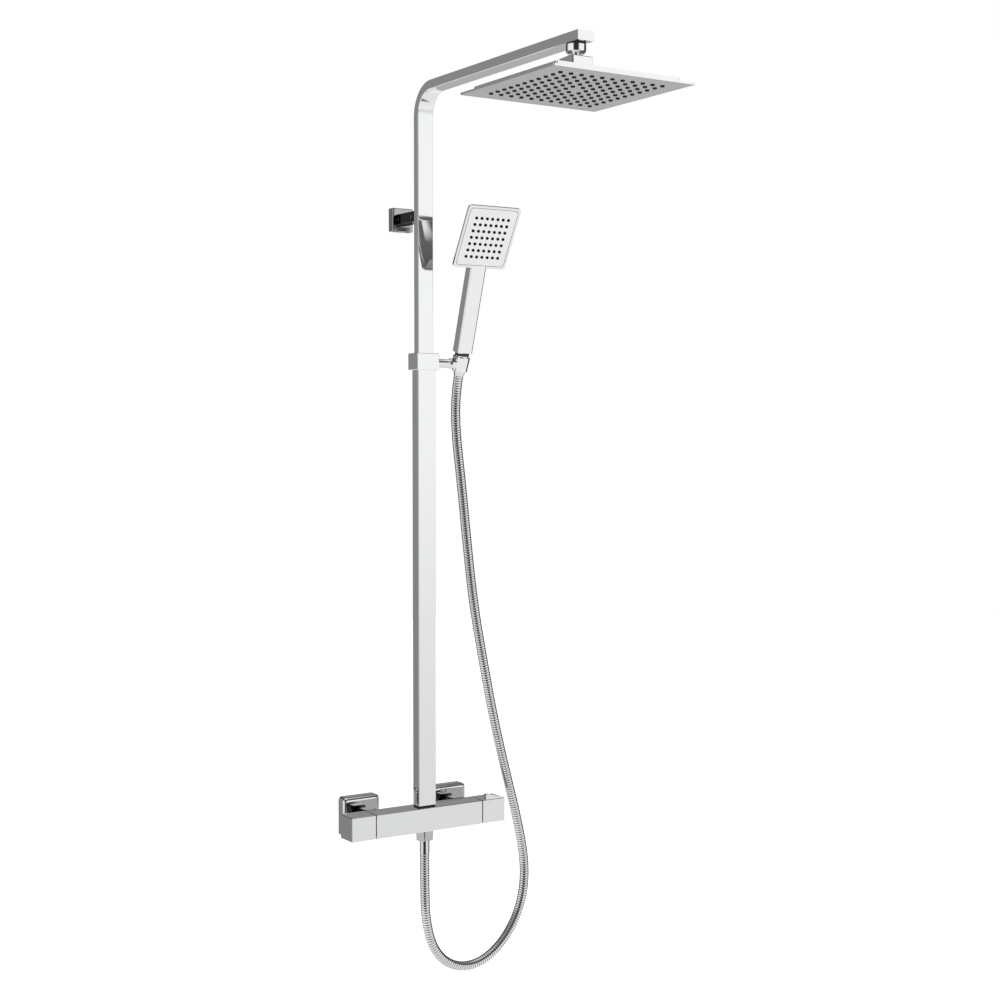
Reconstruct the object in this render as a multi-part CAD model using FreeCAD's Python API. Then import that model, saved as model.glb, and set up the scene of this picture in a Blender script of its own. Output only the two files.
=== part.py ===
"""Square rainfall shower column: bar valve, telescopic riser, overhead head, handset and hose.

Millimetres. X runs right along the wall, Y runs into the wall and Z runs up. The origin is the
mid-point between the two inlets, on the face of the wall, at the height of the valve's axis.
"""
import FreeCAD, Part
import math
import os

V = FreeCAD.Vector
X_AXIS = V(1, 0, 0)
Y_AXIS = V(0, 1, 0)
Z_AXIS = V(0, 0, 1)

# ---------------------------------------------------------------- clearances
RUNNING = 0.06            # radial play of pieces that turn or slide in one another
SLIP = 0.10               # play of pieces that are pushed together and stay
LOOSE = 0.30              # play between covers and what passes through them
SEAT_GAP = 0.25           # conical hose nut in the holder
ROOT = 1.0                # how far a shape that is added or cut starts inside or beyond its neighbour

# ---------------------------------------------------------------- wall and valve
INLET_CENTRES = 150.0
WALL_TO_RISER = 73.0
VALVE_LENGTH = 260.0      # over both handles
VALVE_SIDE = 35.0
HANDLE_LENGTH = 38.8
HANDLE_GAP = 1.6
VALVE_EDGE = 0.7
CHANNEL_R = 4.5           # water passages in the valve
CARTRIDGE_R = {"temperature": 12.0, "flow": 10.5}
CARTRIDGE_DEPTH = {"temperature": 60.0, "flow": 42.0}
CARTRIDGE_GROOVE = 1.2
CARTRIDGE_PORT = 8.0
GLAND_FLATS = 22.0
GLAND_LENGTH = 9.0
GLAND_SPACE = 1.5         # between the gland nut and the floor of the handle
SPINDLE_R = 4.0
SPINDLE_REACH = 26.0      # from the end of the body into the handle
TAB_LENGTH = 30.0         # thumb tab on the flow handle
TAB_HEIGHT = 8.0
TAB_DEPTH = 7.0
TAB_INSET = 6.0           # from the inner end of the handle
TAB_FLAT = 5.0            # level stretch on top
TAB_LOW = 0.6             # height at the low end

# ---------------------------------------------------------------- wall connections
FLANGE_SIDE = 60.0
FLANGE_DEPTH = 18.6
FLANGE_WALL = 2.0
FLANGE_ROUND = 5.5
CONNECTOR_R = 10.48       # half-inch pipe thread
CONNECTOR_BORE_R = 7.5
CONNECTOR_INTO_WALL = 14.0
UNION_R = 13.2            # three-quarter-inch union thread
TAIL_LENGTH = 15.0        # from the back of the valve to the end of its tails
UNION_LENGTH = 12.0
SEAL_THICKNESS = 2.5
TAIL_R = 10.0
TAIL_COLLAR_R = 12.6
TAIL_COLLAR = 2.2
TAIL_BORE_R = 6.5
INLET_NUT_FLATS = 31.0
INLET_NUT_LENGTH = 18.0
INLET_NUT_LIP = 3.2
CHECK_VALVE_LENGTH = 11.0
CHECK_VALVE_INSET = 1.0
CHECK_VALVE_WALL = 2.0
NUT_SLOPE = 1.7           # a nut's corners are turned back at this rise over run

# ---------------------------------------------------------------- riser
UPPER_WIDTH = 25.0
UPPER_DEPTH = 12.8
TUBE_WALL = 1.2
SIDE_SPACE = 0.75         # between the two tubes, at the sides
FRONT_SPACE = 1.3         # between the two tubes, at the front and back
TUBE_CORNER = 0.9
FOOT_GASKET = 2.0
GASKET_INSET = 0.6        # from the outside of the foot
FOOT_TOP = 43.8           # height of the seam over the coupling
FOOT_SPIGOT = 18.0
NIPPLE_R = 7.2
NIPPLE_DEPTH = 11.0       # into the valve
NIPPLE_RISE = 17.0        # above the valve
COLLAR_TOP = 684.0
COLLAR_HEIGHT = 24.4
COLLAR_WALL = 4.15
COLLAR_FRONT = 4.7        # thickness at the front and back
COLLAR_LIP = 0.9
LINER_FLANGE = 1.2
LINER_RIM = 0.4           # from the outside of the lower tube
LINER_LENGTH = 16.0
TELESCOPE_OVERLAP = 122.0
PLUG_LENGTH = 14.0
PLUG_SPIGOT = 10.0
PLUG_BORE_R = 4.0
SEAL_DROPS = (4.0, 9.0)   # below the end of the inner tube
SEAL_TALL = 2.2
SEAL_WIDE = 2.0
ARM_TOP = 1072.3
ARM_REACH = 405.4         # from the riser's centre to the end of the arm
BEND_OUTER_R = 46.0
END_CAP = 1.5
CAP_PLUG = 3.5
OUTLET_BLOCK_FRONT = 11.0  # from the stud's axis
OUTLET_BLOCK_BACK = 14.0
OUTLET_PORT_R = 3.5

# ---------------------------------------------------------------- upper wall bracket
BRACKET_BELOW_ARM = 188.3  # from the top of the arm
BRACKET_FLANGE_SIDE = 34.5
BRACKET_FLANGE_DEPTH = 12.5
BRACKET_FLANGE_WALL = 1.5
BRACKET_FLANGE_ROUND = 1.2
BRACKET_EDGE = 0.6
BRACKET_ARM_WIDTH = 20.0
BRACKET_ARM_HEIGHT = 15.5
BRACKET_PLATE_SIDE = 28.0
BRACKET_PLATE = 2.5
BRACKET_SCREW_SPACING = 21.0
BRACKET_SCREW_R = 2.0
COUNTERSINK = 2.0         # wider than the screw, in radius
COUNTERSINK_DEPTH = 1.8
BRACKET_PIN_R = 5.0
BRACKET_PIN_LENGTH = 24.0
RISER_SPIGOT_LENGTH = 18.0
SPIGOT_SHANK_R = 3.0
SPIGOT_SHANK = 3.0        # inside the riser
GRUB_R = 2.5
GRUB_SUNK = 0.4
GRUB_FROM_FLANGE = 3.8
GRUB_FROM_RISER = 14.0

# ---------------------------------------------------------------- overhead head
HEAD_SIDE = 213.0
HEAD_HEIGHT = 40.5        # from the underside to the top of the block
ARM_OVERHANG = 22.2       # the arm reaches past the head's centre
HEAD_SIDE_WALL = 2.0
HEAD_TOP_WALL = 1.5
HEAD_GASKET = 1.2
HEAD_GASKET_WIDTH = 4.0
HEAD_PLATE = 2.6
HEAD_TIER_INSET = 13.0
HEAD_TIER = 7.1
HEAD_FACE_INSET = 5.5
HEAD_FACE = 1.6
HEAD_CORNER = 1.5
NOZZLE_ROWS = 11
NOZZLE_PITCH = 15.5
NOZZLE_R = 2.5
NOZZLE_PROUD = 1.0
NOZZLE_LENGTH = 3.2
BLOCK_SIDE = 31.0
BLOCK_EDGE = 1.0
SEAT_SHARE = 0.5          # how far below its centre the ball's seat starts, as a share of the cavity
SEAT_BORE_R = 6.0
BALL_R = 9.0
BALL_BELOW_TOP = 11.0
BALL_LINER = 1.4
BLOCK_MOUTH_R = 8.9
LINER_MOUTH_R = 7.2
NECK_R = 5.0
BALL_BORE_R = 3.2
STUD_R = 13.0
STUD_REACH = 17.5         # from the arm to the block
STUD_GAP = 4.0            # free height between the stud's body and the block, so that the head tilts
STUD_CHAMFER = 3.0
STUD_WASHER = 1.8
STUD_WASHER_INSET = 0.6
STUD_SPIGOT_R = 8.0
STUD_SPIGOT = 7.0

# ---------------------------------------------------------------- handset holder
ROD_BELOW_COLLAR = 14.0   # from the top of the collar
ROD_R = 6.5
ROD_FLARE = 2.5
ROD_SHANK_R = 4.0
PIVOT_R = 3.5
HOLDER_X = 63.0
HOLDER_LEAN = 17.5        # degrees forward of upright
CUP_TOP = 11.5            # along the leaning axis, from the pivot
CUP_BOTTOM = -10.0
CUP_TOP_R = 12.8
CUP_BOTTOM_R = 11.3
CUP_SLOT = 15.4
BOSS_R = 8.0
BOSS_LENGTH = 17.0        # from the pivot to the boss's outer face
BOSS_IN_CUP = 2.0
FRICTION_WASHER = 1.0
PIVOT_SCREW_R = 2.0
PIVOT_HEAD_R = 3.3
PIVOT_HEAD = 1.75
PIVOT_SCREW_LENGTH = 7.5
PIVOT_HOLE = 8.0
PIVOT_GAP = 0.15          # between the spigot's end and the screw's head

# ---------------------------------------------------------------- handset
NUT_TOP_R = 10.3
NUT_SEAT_R = 9.0          # at the foot of the cup
NUT_END_R = 7.3
NUT_TOP = 13.6
NUT_END = -17.5
SEAL_RING_R = 10.6
SEAL_RING = 4.6
HANDLE_FOOT_WIDTH = 25.4
HANDLE_FOOT_DEPTH = 18.5
HANDLE_TOP_WIDTH = 26.6
HANDLE_TOP_DEPTH = 17.0
HANDLE_TALL = 128.0
HANDLE_ROUND = 3.5
HANDLE_INTO_HEAD = 6.0
HANDSET_BEND = 11.9       # degrees between the handle and the spray face
HANDSET_SET_BACK = 0.9    # the spray face's lower edge lies behind the handle's front
HANDSET_WIDTH = 88.5
HANDSET_HEIGHT = 95.5
HANDSET_RIM = 3.2
HANDSET_STEP = 1.0        # from the rim in to the sloping back
HANDSET_BACK = 8.0
HANDSET_BACK_WALL = 2.0
HANDSET_SLOPE = 13.0      # how far the back slopes in
HANDSET_CORNER = 5.0
HANDSET_FACE_INSET = 4.0
HANDSET_FACE = 1.4
SPRAY_ROWS = 7
SPRAY_PITCH_X = 9.0
SPRAY_PITCH_Z = 9.9
SPRAY_CENTRE = 47.0       # from the lower edge of the spray face
SPRAY_R = 2.3
SPRAY_PROUD = 0.8
SPRAY_LENGTH = 2.8
WATER_TUBE_R = 6.0
INLET_THREAD_R = 8.0
INLET_LENGTH = 26.0
INLET_BORE_R = 4.5

# ---------------------------------------------------------------- hose
HOSE_R = 7.0
OUTLET_R = 9.0
OUTLET_LENGTH = 10.0
HOSE_WASHER = 2.0
HOSE_NUT_FLATS = 24.5
HOSE_NUT_GAP = 0.6        # under the valve
HOSE_NUT_LENGTH = 15.0
FERRULE_R = 7.3
FERRULE_COLLAR_R = 8.7
FERRULE_COLLAR = 2.0
FERRULE_REACH = 35.0      # from the valve to the ferrule's end
FERRULE_BORE_R = 3.5
SLEEVE_R = 5.4
SLEEVE_SEAT = 0.2         # the sleeve's flange, along the leaning axis
SLEEVE_FLANGE = 3.8

# Places that follow from the sizes above
RISER_Y = -WALL_TO_RISER
BODY_HALF = VALVE_LENGTH / 2 - HANDLE_LENGTH - HANDLE_GAP
VALVE_HALF = VALVE_SIDE / 2
VALVE_BACK = RISER_Y + VALVE_HALF
TAIL_END = VALVE_BACK + TAIL_LENGTH
UNION_END = TAIL_END + SEAL_THICKNESS
LOWER_WIDTH = UPPER_WIDTH + 2 * (SIDE_SPACE + TUBE_WALL)
LOWER_DEPTH = UPPER_DEPTH + 2 * (FRONT_SPACE + TUBE_WALL)
LOWER_INNER_WIDTH = LOWER_WIDTH - 2 * TUBE_WALL
LOWER_INNER_DEPTH = LOWER_DEPTH - 2 * TUBE_WALL
FOOT_BOTTOM = VALVE_HALF + FOOT_GASKET
LINER_TOP = COLLAR_TOP - COLLAR_LIP
LOWER_TOP = LINER_TOP - LINER_FLANGE
COLLAR_BOTTOM = COLLAR_TOP - COLLAR_HEIGHT
COLLAR_HALF = LOWER_WIDTH / 2 + COLLAR_WALL
COLLAR_DEPTH = LOWER_DEPTH + 2 * COLLAR_FRONT
UPPER_BOTTOM = COLLAR_TOP - TELESCOPE_OVERLAP
ARM_AXIS = ARM_TOP - UPPER_DEPTH / 2
ARM_UNDERSIDE = ARM_TOP - UPPER_DEPTH
ARM_END = RISER_Y - ARM_REACH
BRACKET_HEIGHT = ARM_TOP - BRACKET_BELOW_ARM
BEND_R = BEND_OUTER_R - UPPER_DEPTH / 2
RISER_BACK = RISER_Y + UPPER_DEPTH / 2
HEAD_Y = ARM_END + ARM_OVERHANG
BLOCK_TOP = ARM_UNDERSIDE - STUD_REACH
HEAD_UNDERSIDE = BLOCK_TOP - HEAD_HEIGHT
HEAD_TOP = HEAD_UNDERSIDE + HEAD_PLATE + HEAD_TIER
BALL_CENTRE = V(0, HEAD_Y, BLOCK_TOP - BALL_BELOW_TOP)
CAVITY_R = BALL_R + BALL_LINER + 2 * RUNNING
SEAT_TOP = BALL_CENTRE.z - SEAT_SHARE * CAVITY_R
ROD_HEIGHT = COLLAR_TOP - ROD_BELOW_COLLAR
PIVOT = V(HOLDER_X, RISER_Y, ROD_HEIGHT)
BOSS_END = HOLDER_X - BOSS_LENGTH
HANDLE_START = NUT_TOP + SEAL_RING
SLEEVE_TOP = SLEEVE_SEAT + SLEEVE_FLANGE
INLET_END = SLEEVE_TOP + INLET_LENGTH
HOSE_NUT_TOP = VALVE_HALF + HOSE_NUT_GAP
FERRULE_TOP = VALVE_HALF + OUTLET_LENGTH + HOSE_WASHER
FERRULE_END = VALVE_HALF + FERRULE_REACH

# The hose leaves the handset's conical nut in line with it, hangs, and comes up under the valve
# in line with the ferrule. Each point between is X as a share of the holder's X, the distance
# behind the riser's centre, and the height as a share of the rod's height.
HOSE_LEAD = 30.0          # straight stretch out of the conical nut
HOSE_TAIL = 48.0          # straight stretch into the ferrule
HOSE_ARC_SHARE = 0.45     # of the shorter run, on each side of a corner, taken up by the arc
HOSE_ROUTE = [
    (1.024, 16.5, 0.851), (1.159, 14.0, 0.734), (1.294, 12.0, 0.6), (1.444, 9.5, 0.466),
    (1.69, 7.0, 0.336), (1.96, 4.5, 0.204), (2.27, 2.0, 0.084), (2.603, 1.0, -0.03),
    (2.825, 0.0, -0.134), (2.778, 0.0, -0.212), (2.476, 0.0, -0.279), (1.968, 0.0, -0.33),
    (1.365, 0.0, -0.354), (0.73, 0.0, -0.345), (0.238, 0.0, -0.301), (0.024, 0.0, -0.231),
]


# ---------------------------------------------------------------- shapes
def block(x, y, z):
    """A box between the two values of each of x, y and z."""
    return Part.makeBox(x[1] - x[0], y[1] - y[0], z[1] - z[0], V(x[0], y[0], z[0]))


def rod(radius, start, end):
    """A round bar from one point to another."""
    line = end - start
    return Part.makeCylinder(radius, line.Length, start, line)


def taper(radius_a, radius_b, start, end):
    """A round bar whose radius changes evenly from one point to another."""
    line = end - start
    return Part.makeCone(radius_a, radius_b, line.Length, start, line)


def hexagon(flats, start, end):
    """A hexagonal bar from one point to another, with two flats facing along X or Z."""
    line = end - start
    across = flats / math.sqrt(3)
    turn = FreeCAD.Rotation(Z_AXIS, line)
    corners = [turn.multVec(V(across * math.cos(a), across * math.sin(a), 0)) + start
               for a in (math.radians(60 * i) for i in range(7))]
    return Part.Face(Part.makePolygon(corners)).extrude(line)


def nut_blank(flats, start, end):
    """A hexagonal bar whose corners are turned back towards its end."""
    line = end - start
    widest = flats / 2 + line.Length * NUT_SLOPE
    return hexagon(flats, start, end).common(taper(widest, flats / 2, start, end))


def rounded_outline(width, depth, radius):
    """A closed wire round the origin in the XY plane, with rounded corners."""
    w = width / 2
    d = depth / 2
    edges = []
    for sx, sy, start in ((1, 1, 0), (-1, 1, 90), (-1, -1, 180), (1, -1, 270)):
        centre = V(sx * (w - radius), sy * (d - radius), 0)
        edges.append(Part.makeCircle(radius, centre, Z_AXIS, start, start + 90))
    sides = [Part.makeLine(edges[i].Vertexes[-1].Point, edges[(i + 1) % 4].Vertexes[0].Point)
             for i in range(4)]
    ordered = [edge for pair in zip(edges, sides) for edge in pair]
    return Part.Wire(ordered)


def bar(width, depth, radius, centre, z):
    """An upright bar of rounded rectangular section, centred on an (x, y) point."""
    face = Part.Face(rounded_outline(width, depth, radius))
    face.translate(V(centre[0], centre[1], z[0]))
    return face.extrude(V(0, 0, z[1] - z[0]))


def rectangle(width, depth, z):
    """A closed rectangular wire round the Z axis at a height."""
    w = width / 2
    d = depth / 2
    return Part.makePolygon([V(-w, -d, z), V(w, -d, z), V(w, d, z), V(-w, d, z), V(-w, -d, z)])


def tapered_bar(foot, top, z, radius):
    """A four-sided bar from a foot to a top rectangle, (width, depth) each, with rounded long edges."""
    shape = Part.makeLoft([rectangle(*foot, z[0]), rectangle(*top, z[1])], True, True)
    long_edges = [e for e in shape.Edges if abs(e.Vertexes[0].Z - e.Vertexes[-1].Z) > 1e-3]
    return shape.makeFillet(radius, long_edges)


def edges_along(shape, direction):
    """The straight edges of a shape that run along a direction."""
    picked = []
    for edge in shape.Edges:
        if edge.Curve.TypeId != "Part::GeomLine":
            continue
        if abs(abs(edge.Curve.Direction.dot(direction)) - 1) < 1e-6:
            picked.append(edge)
    return picked


def edges_on(shape, axis, value):
    """The edges of a shape that lie wholly on the plane where axis has a value."""
    return [e for e in shape.Edges
            if all(abs(getattr(v.Point, axis) - value) < 1e-4 for v in e.Vertexes)]


def mirrored(shape):
    """The same piece on the other side of the centre plane."""
    return shape.mirror(V(0, 0, 0), X_AXIS)


def save(name, shapes):
    """Write one node from one solid or a list of separate ones."""
    group = shapes if isinstance(shapes, list) else [shapes]
    solids = [solid for shape in group for solid in shape.removeSplitter().Solids]
    for solid in solids:
        if not solid.isValid():
            print("invalid solid in", name)
    shape = solids[0] if len(solids) == 1 else Part.makeCompound(solids)
    shape.exportStep("parts/" + name + ".step")
    print("%-26s %3d solid(s) %10.1f mm3" % (name, len(solids), shape.Volume))


# ---------------------------------------------------------------- valve
def valve_body():
    """The square bar with its cartridge chambers, inlet tails and outlets."""
    body = block((-BODY_HALF, BODY_HALF), (RISER_Y - VALVE_HALF, VALVE_BACK), (-VALVE_HALF, VALVE_HALF))
    body = body.makeChamfer(VALVE_EDGE, edges_along(body, X_AXIS))
    for side in (-1, 1):
        x = side * INLET_CENTRES / 2
        body = body.fuse(rod(TAIL_R, V(x, VALVE_BACK - ROOT, 0), V(x, TAIL_END, 0)))
        body = body.fuse(rod(TAIL_COLLAR_R, V(x, TAIL_END - TAIL_COLLAR, 0), V(x, TAIL_END, 0)))
        body = body.cut(rod(TAIL_BORE_R, V(x, RISER_Y, 0), V(x, TAIL_END, 0)))
    chambers = ((-1, "temperature"), (1, "flow"))
    for side, kind in chambers:
        inner = side * (BODY_HALF - CARTRIDGE_DEPTH[kind])
        body = body.cut(rod(CARTRIDGE_R[kind] + SLIP, V(inner, RISER_Y, 0), V(side * BODY_HALF, RISER_Y, 0)))
    body = body.cut(rod(CHANNEL_R, V(-INLET_CENTRES / 2, RISER_Y, 0), V(INLET_CENTRES / 2, RISER_Y, 0)))
    body = body.cut(rod(CHANNEL_R, V(0, RISER_Y, -VALVE_HALF), V(0, RISER_Y, VALVE_HALF)))
    for side in (-1, 1):
        mouth = V(0, RISER_Y, side * VALVE_HALF)
        floor = V(0, RISER_Y, side * (VALVE_HALF - NIPPLE_DEPTH))
        body = body.cut(rod(NIPPLE_R + SLIP, floor, mouth))
    return body


def cartridge(side, kind):
    """A cartridge that fills its chamber, with a spindle hole and side ports."""
    radius = CARTRIDGE_R[kind]
    inner = side * (BODY_HALF - CARTRIDGE_DEPTH[kind] + SLIP)
    outer = side * BODY_HALF
    body = rod(radius, V(inner, RISER_Y, 0), V(outer, RISER_Y, 0))
    for share in (0.3, 0.6):
        start = V(inner + (outer - inner) * share, RISER_Y, 0)
        end = start + V(side * CARTRIDGE_GROOVE, 0, 0)
        ring = rod(radius + ROOT, start, end).cut(rod(radius - CARTRIDGE_GROOVE, start, end))
        body = body.cut(ring)
    spindle_end = outer - side * SPINDLE_REACH
    body = body.cut(rod(SPINDLE_R + RUNNING, V(spindle_end - side * SLIP, RISER_Y, 0), V(outer, RISER_Y, 0)))
    return body.cut(rod(SPINDLE_R, V(inner, RISER_Y, 0), V(inner + side * CARTRIDGE_PORT, RISER_Y, 0)))


def gland_nut(side):
    """The ring nut that keeps a cartridge in, hidden inside the handle."""
    start = V(side * BODY_HALF, RISER_Y, 0)
    end = V(side * (BODY_HALF + GLAND_LENGTH), RISER_Y, 0)
    return hexagon(GLAND_FLATS, start, end).cut(rod(SPINDLE_R + RUNNING, start, end))


def spindle(side):
    """The turning spindle of a cartridge, from inside the body into the handle."""
    return rod(SPINDLE_R, V(side * (BODY_HALF - SPINDLE_REACH), RISER_Y, 0),
               V(side * (BODY_HALF + SPINDLE_REACH), RISER_Y, 0))


def valve_handle(side):
    """A square end handle, hollow over the gland nut and bored for the spindle."""
    inner = side * (BODY_HALF + HANDLE_GAP)
    outer = side * VALVE_LENGTH / 2
    shape = block(sorted((inner, outer)), (RISER_Y - VALVE_HALF, VALVE_BACK), (-VALVE_HALF, VALVE_HALF))
    shape = shape.makeChamfer(VALVE_EDGE, edges_along(shape, X_AXIS) + edges_on(shape, "x", outer))
    floor = side * (BODY_HALF + GLAND_LENGTH + GLAND_SPACE)
    shape = shape.cut(rod(GLAND_FLATS / math.sqrt(3) + LOOSE, V(inner, RISER_Y, 0), V(floor, RISER_Y, 0)))
    tip = side * (BODY_HALF + SPINDLE_REACH)
    return shape.cut(rod(SPINDLE_R, V(floor, RISER_Y, 0), V(tip, RISER_Y, 0)))


def thumb_tab():
    """The wedge on top of the flow handle, flush with its front and highest near the body."""
    x = BODY_HALF + HANDLE_GAP + TAB_INSET
    front = RISER_Y - VALVE_HALF + VALVE_EDGE
    base = VALVE_HALF
    corners = [V(x, front, base), V(x + TAB_LENGTH, front, base), V(x + TAB_LENGTH, front, base + TAB_LOW),
               V(x + TAB_FLAT, front, base + TAB_HEIGHT), V(x, front, base + TAB_HEIGHT), V(x, front, base)]
    return Part.Face(Part.makePolygon(corners)).extrude(V(0, TAB_DEPTH, 0))


# ---------------------------------------------------------------- wall connections, right-hand side
def wall_flange():
    """The square cover plate, open to the wall, with softly rounded front edges."""
    x = INLET_CENTRES / 2
    half = FLANGE_SIDE / 2
    shell = block((x - half, x + half), (-FLANGE_DEPTH, 0), (-half, half))
    shell = shell.makeFillet(FLANGE_ROUND, edges_on(shell, "y", -FLANGE_DEPTH) + edges_along(shell, Y_AXIS))
    inner = half - FLANGE_WALL
    floor = FLANGE_WALL - FLANGE_DEPTH
    hollow = block((x - inner, x + inner), (floor, 0), (-inner, inner))
    inner_round = FLANGE_ROUND - FLANGE_WALL
    hollow = hollow.makeFillet(inner_round, edges_on(hollow, "y", floor) + edges_along(hollow, Y_AXIS))
    shell = shell.cut(hollow)
    return shell.cut(rod(CONNECTOR_R + LOOSE, V(x, -FLANGE_DEPTH, 0), V(x, 0, 0)))


def wall_connector():
    """The threaded pipe stub that screws into the wall and takes the union nut."""
    x = INLET_CENTRES / 2
    union_start = V(x, UNION_END + UNION_LENGTH, 0)
    pipe = rod(CONNECTOR_R, V(x, CONNECTOR_INTO_WALL, 0), union_start)
    pipe = pipe.fuse(rod(UNION_R, union_start, V(x, UNION_END, 0)))
    return pipe.cut(rod(CONNECTOR_BORE_R, V(x, CONNECTOR_INTO_WALL, 0), V(x, UNION_END, 0)))


def inlet_seal():
    """The filter washer between the connector and the valve's tail."""
    x = INLET_CENTRES / 2
    washer = rod(TAIL_COLLAR_R, V(x, UNION_END, 0), V(x, TAIL_END, 0))
    return washer.cut(rod(TAIL_BORE_R, V(x, UNION_END, 0), V(x, TAIL_END, 0)))


def inlet_nut():
    """The union nut, held on the valve's tail by its lip."""
    x = INLET_CENTRES / 2
    lip_face = TAIL_END - TAIL_COLLAR
    end = lip_face - INLET_NUT_LIP
    start = end + INLET_NUT_LENGTH
    nut = nut_blank(INLET_NUT_FLATS, V(x, start, 0), V(x, end, 0))
    nut = nut.cut(rod(UNION_R + RUNNING, V(x, lip_face, 0), V(x, start, 0)))
    return nut.cut(rod(TAIL_R + RUNNING, V(x, end, 0), V(x, start, 0)))


def check_valve():
    """The non-return valve pushed into the tail's bore."""
    x = INLET_CENTRES / 2
    start = V(x, TAIL_END - CHECK_VALVE_INSET, 0)
    floor = start - V(0, CHECK_VALVE_LENGTH - CHECK_VALVE_WALL, 0)
    end = start - V(0, CHECK_VALVE_LENGTH, 0)
    sleeve = rod(TAIL_BORE_R - SLIP / 2, start, end)
    return sleeve.cut(rod(TAIL_BORE_R - CHECK_VALVE_WALL, start, floor))


# ---------------------------------------------------------------- riser
def foot_gasket():
    """The dark gasket between the valve and the riser's foot."""
    pad = bar(LOWER_WIDTH - 2 * GASKET_INSET, LOWER_DEPTH - 2 * GASKET_INSET, TUBE_CORNER, (0, RISER_Y),
              (VALVE_HALF, FOOT_BOTTOM))
    return pad.cut(rod(NIPPLE_R + SLIP, V(0, RISER_Y, VALVE_HALF), V(0, RISER_Y, FOOT_BOTTOM)))


def riser_nipple():
    """The nipple that carries water from the valve into the foot."""
    bottom = V(0, RISER_Y, VALVE_HALF - NIPPLE_DEPTH)
    top = V(0, RISER_Y, VALVE_HALF + NIPPLE_RISE)
    return rod(NIPPLE_R, bottom, top).cut(rod(CHANNEL_R, bottom, top))


def riser_foot():
    """The coupling at the foot, with a spigot that plugs into the lower tube."""
    foot = bar(LOWER_WIDTH, LOWER_DEPTH, TUBE_CORNER, (0, RISER_Y), (FOOT_BOTTOM, FOOT_TOP))
    spigot = bar(LOWER_INNER_WIDTH - 2 * SLIP, LOWER_INNER_DEPTH - 2 * SLIP, TUBE_CORNER,
                 (0, RISER_Y), (FOOT_TOP - ROOT, FOOT_TOP + FOOT_SPIGOT))
    foot = foot.fuse(spigot)
    ceiling = VALVE_HALF + NIPPLE_RISE
    foot = foot.cut(rod(NIPPLE_R + SLIP, V(0, RISER_Y, FOOT_BOTTOM), V(0, RISER_Y, ceiling)))
    return foot.cut(rod(CHANNEL_R, V(0, RISER_Y, ceiling), V(0, RISER_Y, FOOT_TOP + FOOT_SPIGOT)))


def collar_screw(tip):
    """The clamp screw at the back of the collar, starting at a given depth from the riser's axis."""
    z = COLLAR_BOTTOM + COLLAR_HEIGHT / 2
    return rod(GRUB_R, V(0, RISER_Y + tip, z), V(0, RISER_Y + COLLAR_DEPTH / 2 - GRUB_SUNK, z))


def lower_tube():
    """The fixed outer tube of the riser."""
    z = (FOOT_TOP, LOWER_TOP)
    tube = bar(LOWER_WIDTH, LOWER_DEPTH, TUBE_CORNER, (0, RISER_Y), z)
    tube = tube.cut(bar(LOWER_INNER_WIDTH, LOWER_INNER_DEPTH, TUBE_CORNER / 2, (0, RISER_Y), z))
    return tube.cut(collar_screw(0))


def clamp_collar():
    """The collar over the joint of the two tubes, which carries the handset's rod."""
    collar = block((-COLLAR_HALF, COLLAR_HALF),
                   (RISER_Y - COLLAR_DEPTH / 2, RISER_Y + COLLAR_DEPTH / 2), (COLLAR_BOTTOM, COLLAR_TOP))
    collar = collar.makeChamfer(VALVE_EDGE, collar.Edges)
    centre = (0, RISER_Y)
    collar = collar.cut(bar(LOWER_WIDTH + SLIP, LOWER_DEPTH + SLIP, TUBE_CORNER, centre,
                            (COLLAR_BOTTOM, LOWER_TOP)))
    rim = 2 * (LINER_RIM - SLIP)
    collar = collar.cut(bar(LOWER_WIDTH - rim, LOWER_DEPTH - rim, TUBE_CORNER, centre, (LOWER_TOP, LINER_TOP)))
    collar = collar.cut(bar(UPPER_WIDTH + 2 * LOOSE, UPPER_DEPTH + 2 * LOOSE, TUBE_CORNER, centre,
                            (LINER_TOP, COLLAR_TOP)))
    shank = rod(ROD_SHANK_R, V(LOWER_WIDTH / 2, RISER_Y, ROD_HEIGHT), V(COLLAR_HALF, RISER_Y, ROD_HEIGHT))
    return collar.cut(shank).cut(collar_screw(0))


def collar_liner():
    """The plastic guide between the two tubes."""
    centre = (0, RISER_Y)
    liner = bar(LOWER_INNER_WIDTH - SLIP, LOWER_INNER_DEPTH - SLIP, TUBE_CORNER / 2, centre,
                (LINER_TOP - LINER_LENGTH, LOWER_TOP))
    liner = liner.fuse(bar(LOWER_WIDTH - 2 * LINER_RIM, LOWER_DEPTH - 2 * LINER_RIM, TUBE_CORNER, centre,
                           (LOWER_TOP, LINER_TOP)))
    return liner.cut(bar(UPPER_WIDTH + 2 * RUNNING, UPPER_DEPTH + 2 * RUNNING, TUBE_CORNER, centre,
                         (LINER_TOP - LINER_LENGTH, LINER_TOP)))


def bent_bar(width, depth, radius, start, end):
    """The riser's upper stretch, its bend and the arm, of one section on one centre line."""
    section = Part.Face(rounded_outline(width, depth, radius))
    section.translate(V(0, RISER_Y, start))
    bend_z = ARM_AXIS - BEND_R
    upright = section.extrude(V(0, 0, bend_z - start))
    section.translate(V(0, 0, bend_z - start))
    centre = V(0, RISER_Y - BEND_R, bend_z)
    bend = section.revolve(centre, X_AXIS, 90)
    section.rotate(centre, X_AXIS, 90)
    arm = section.extrude(V(0, end - centre.y, 0))
    return upright.fuse(bend).fuse(arm).removeSplitter()


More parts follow.
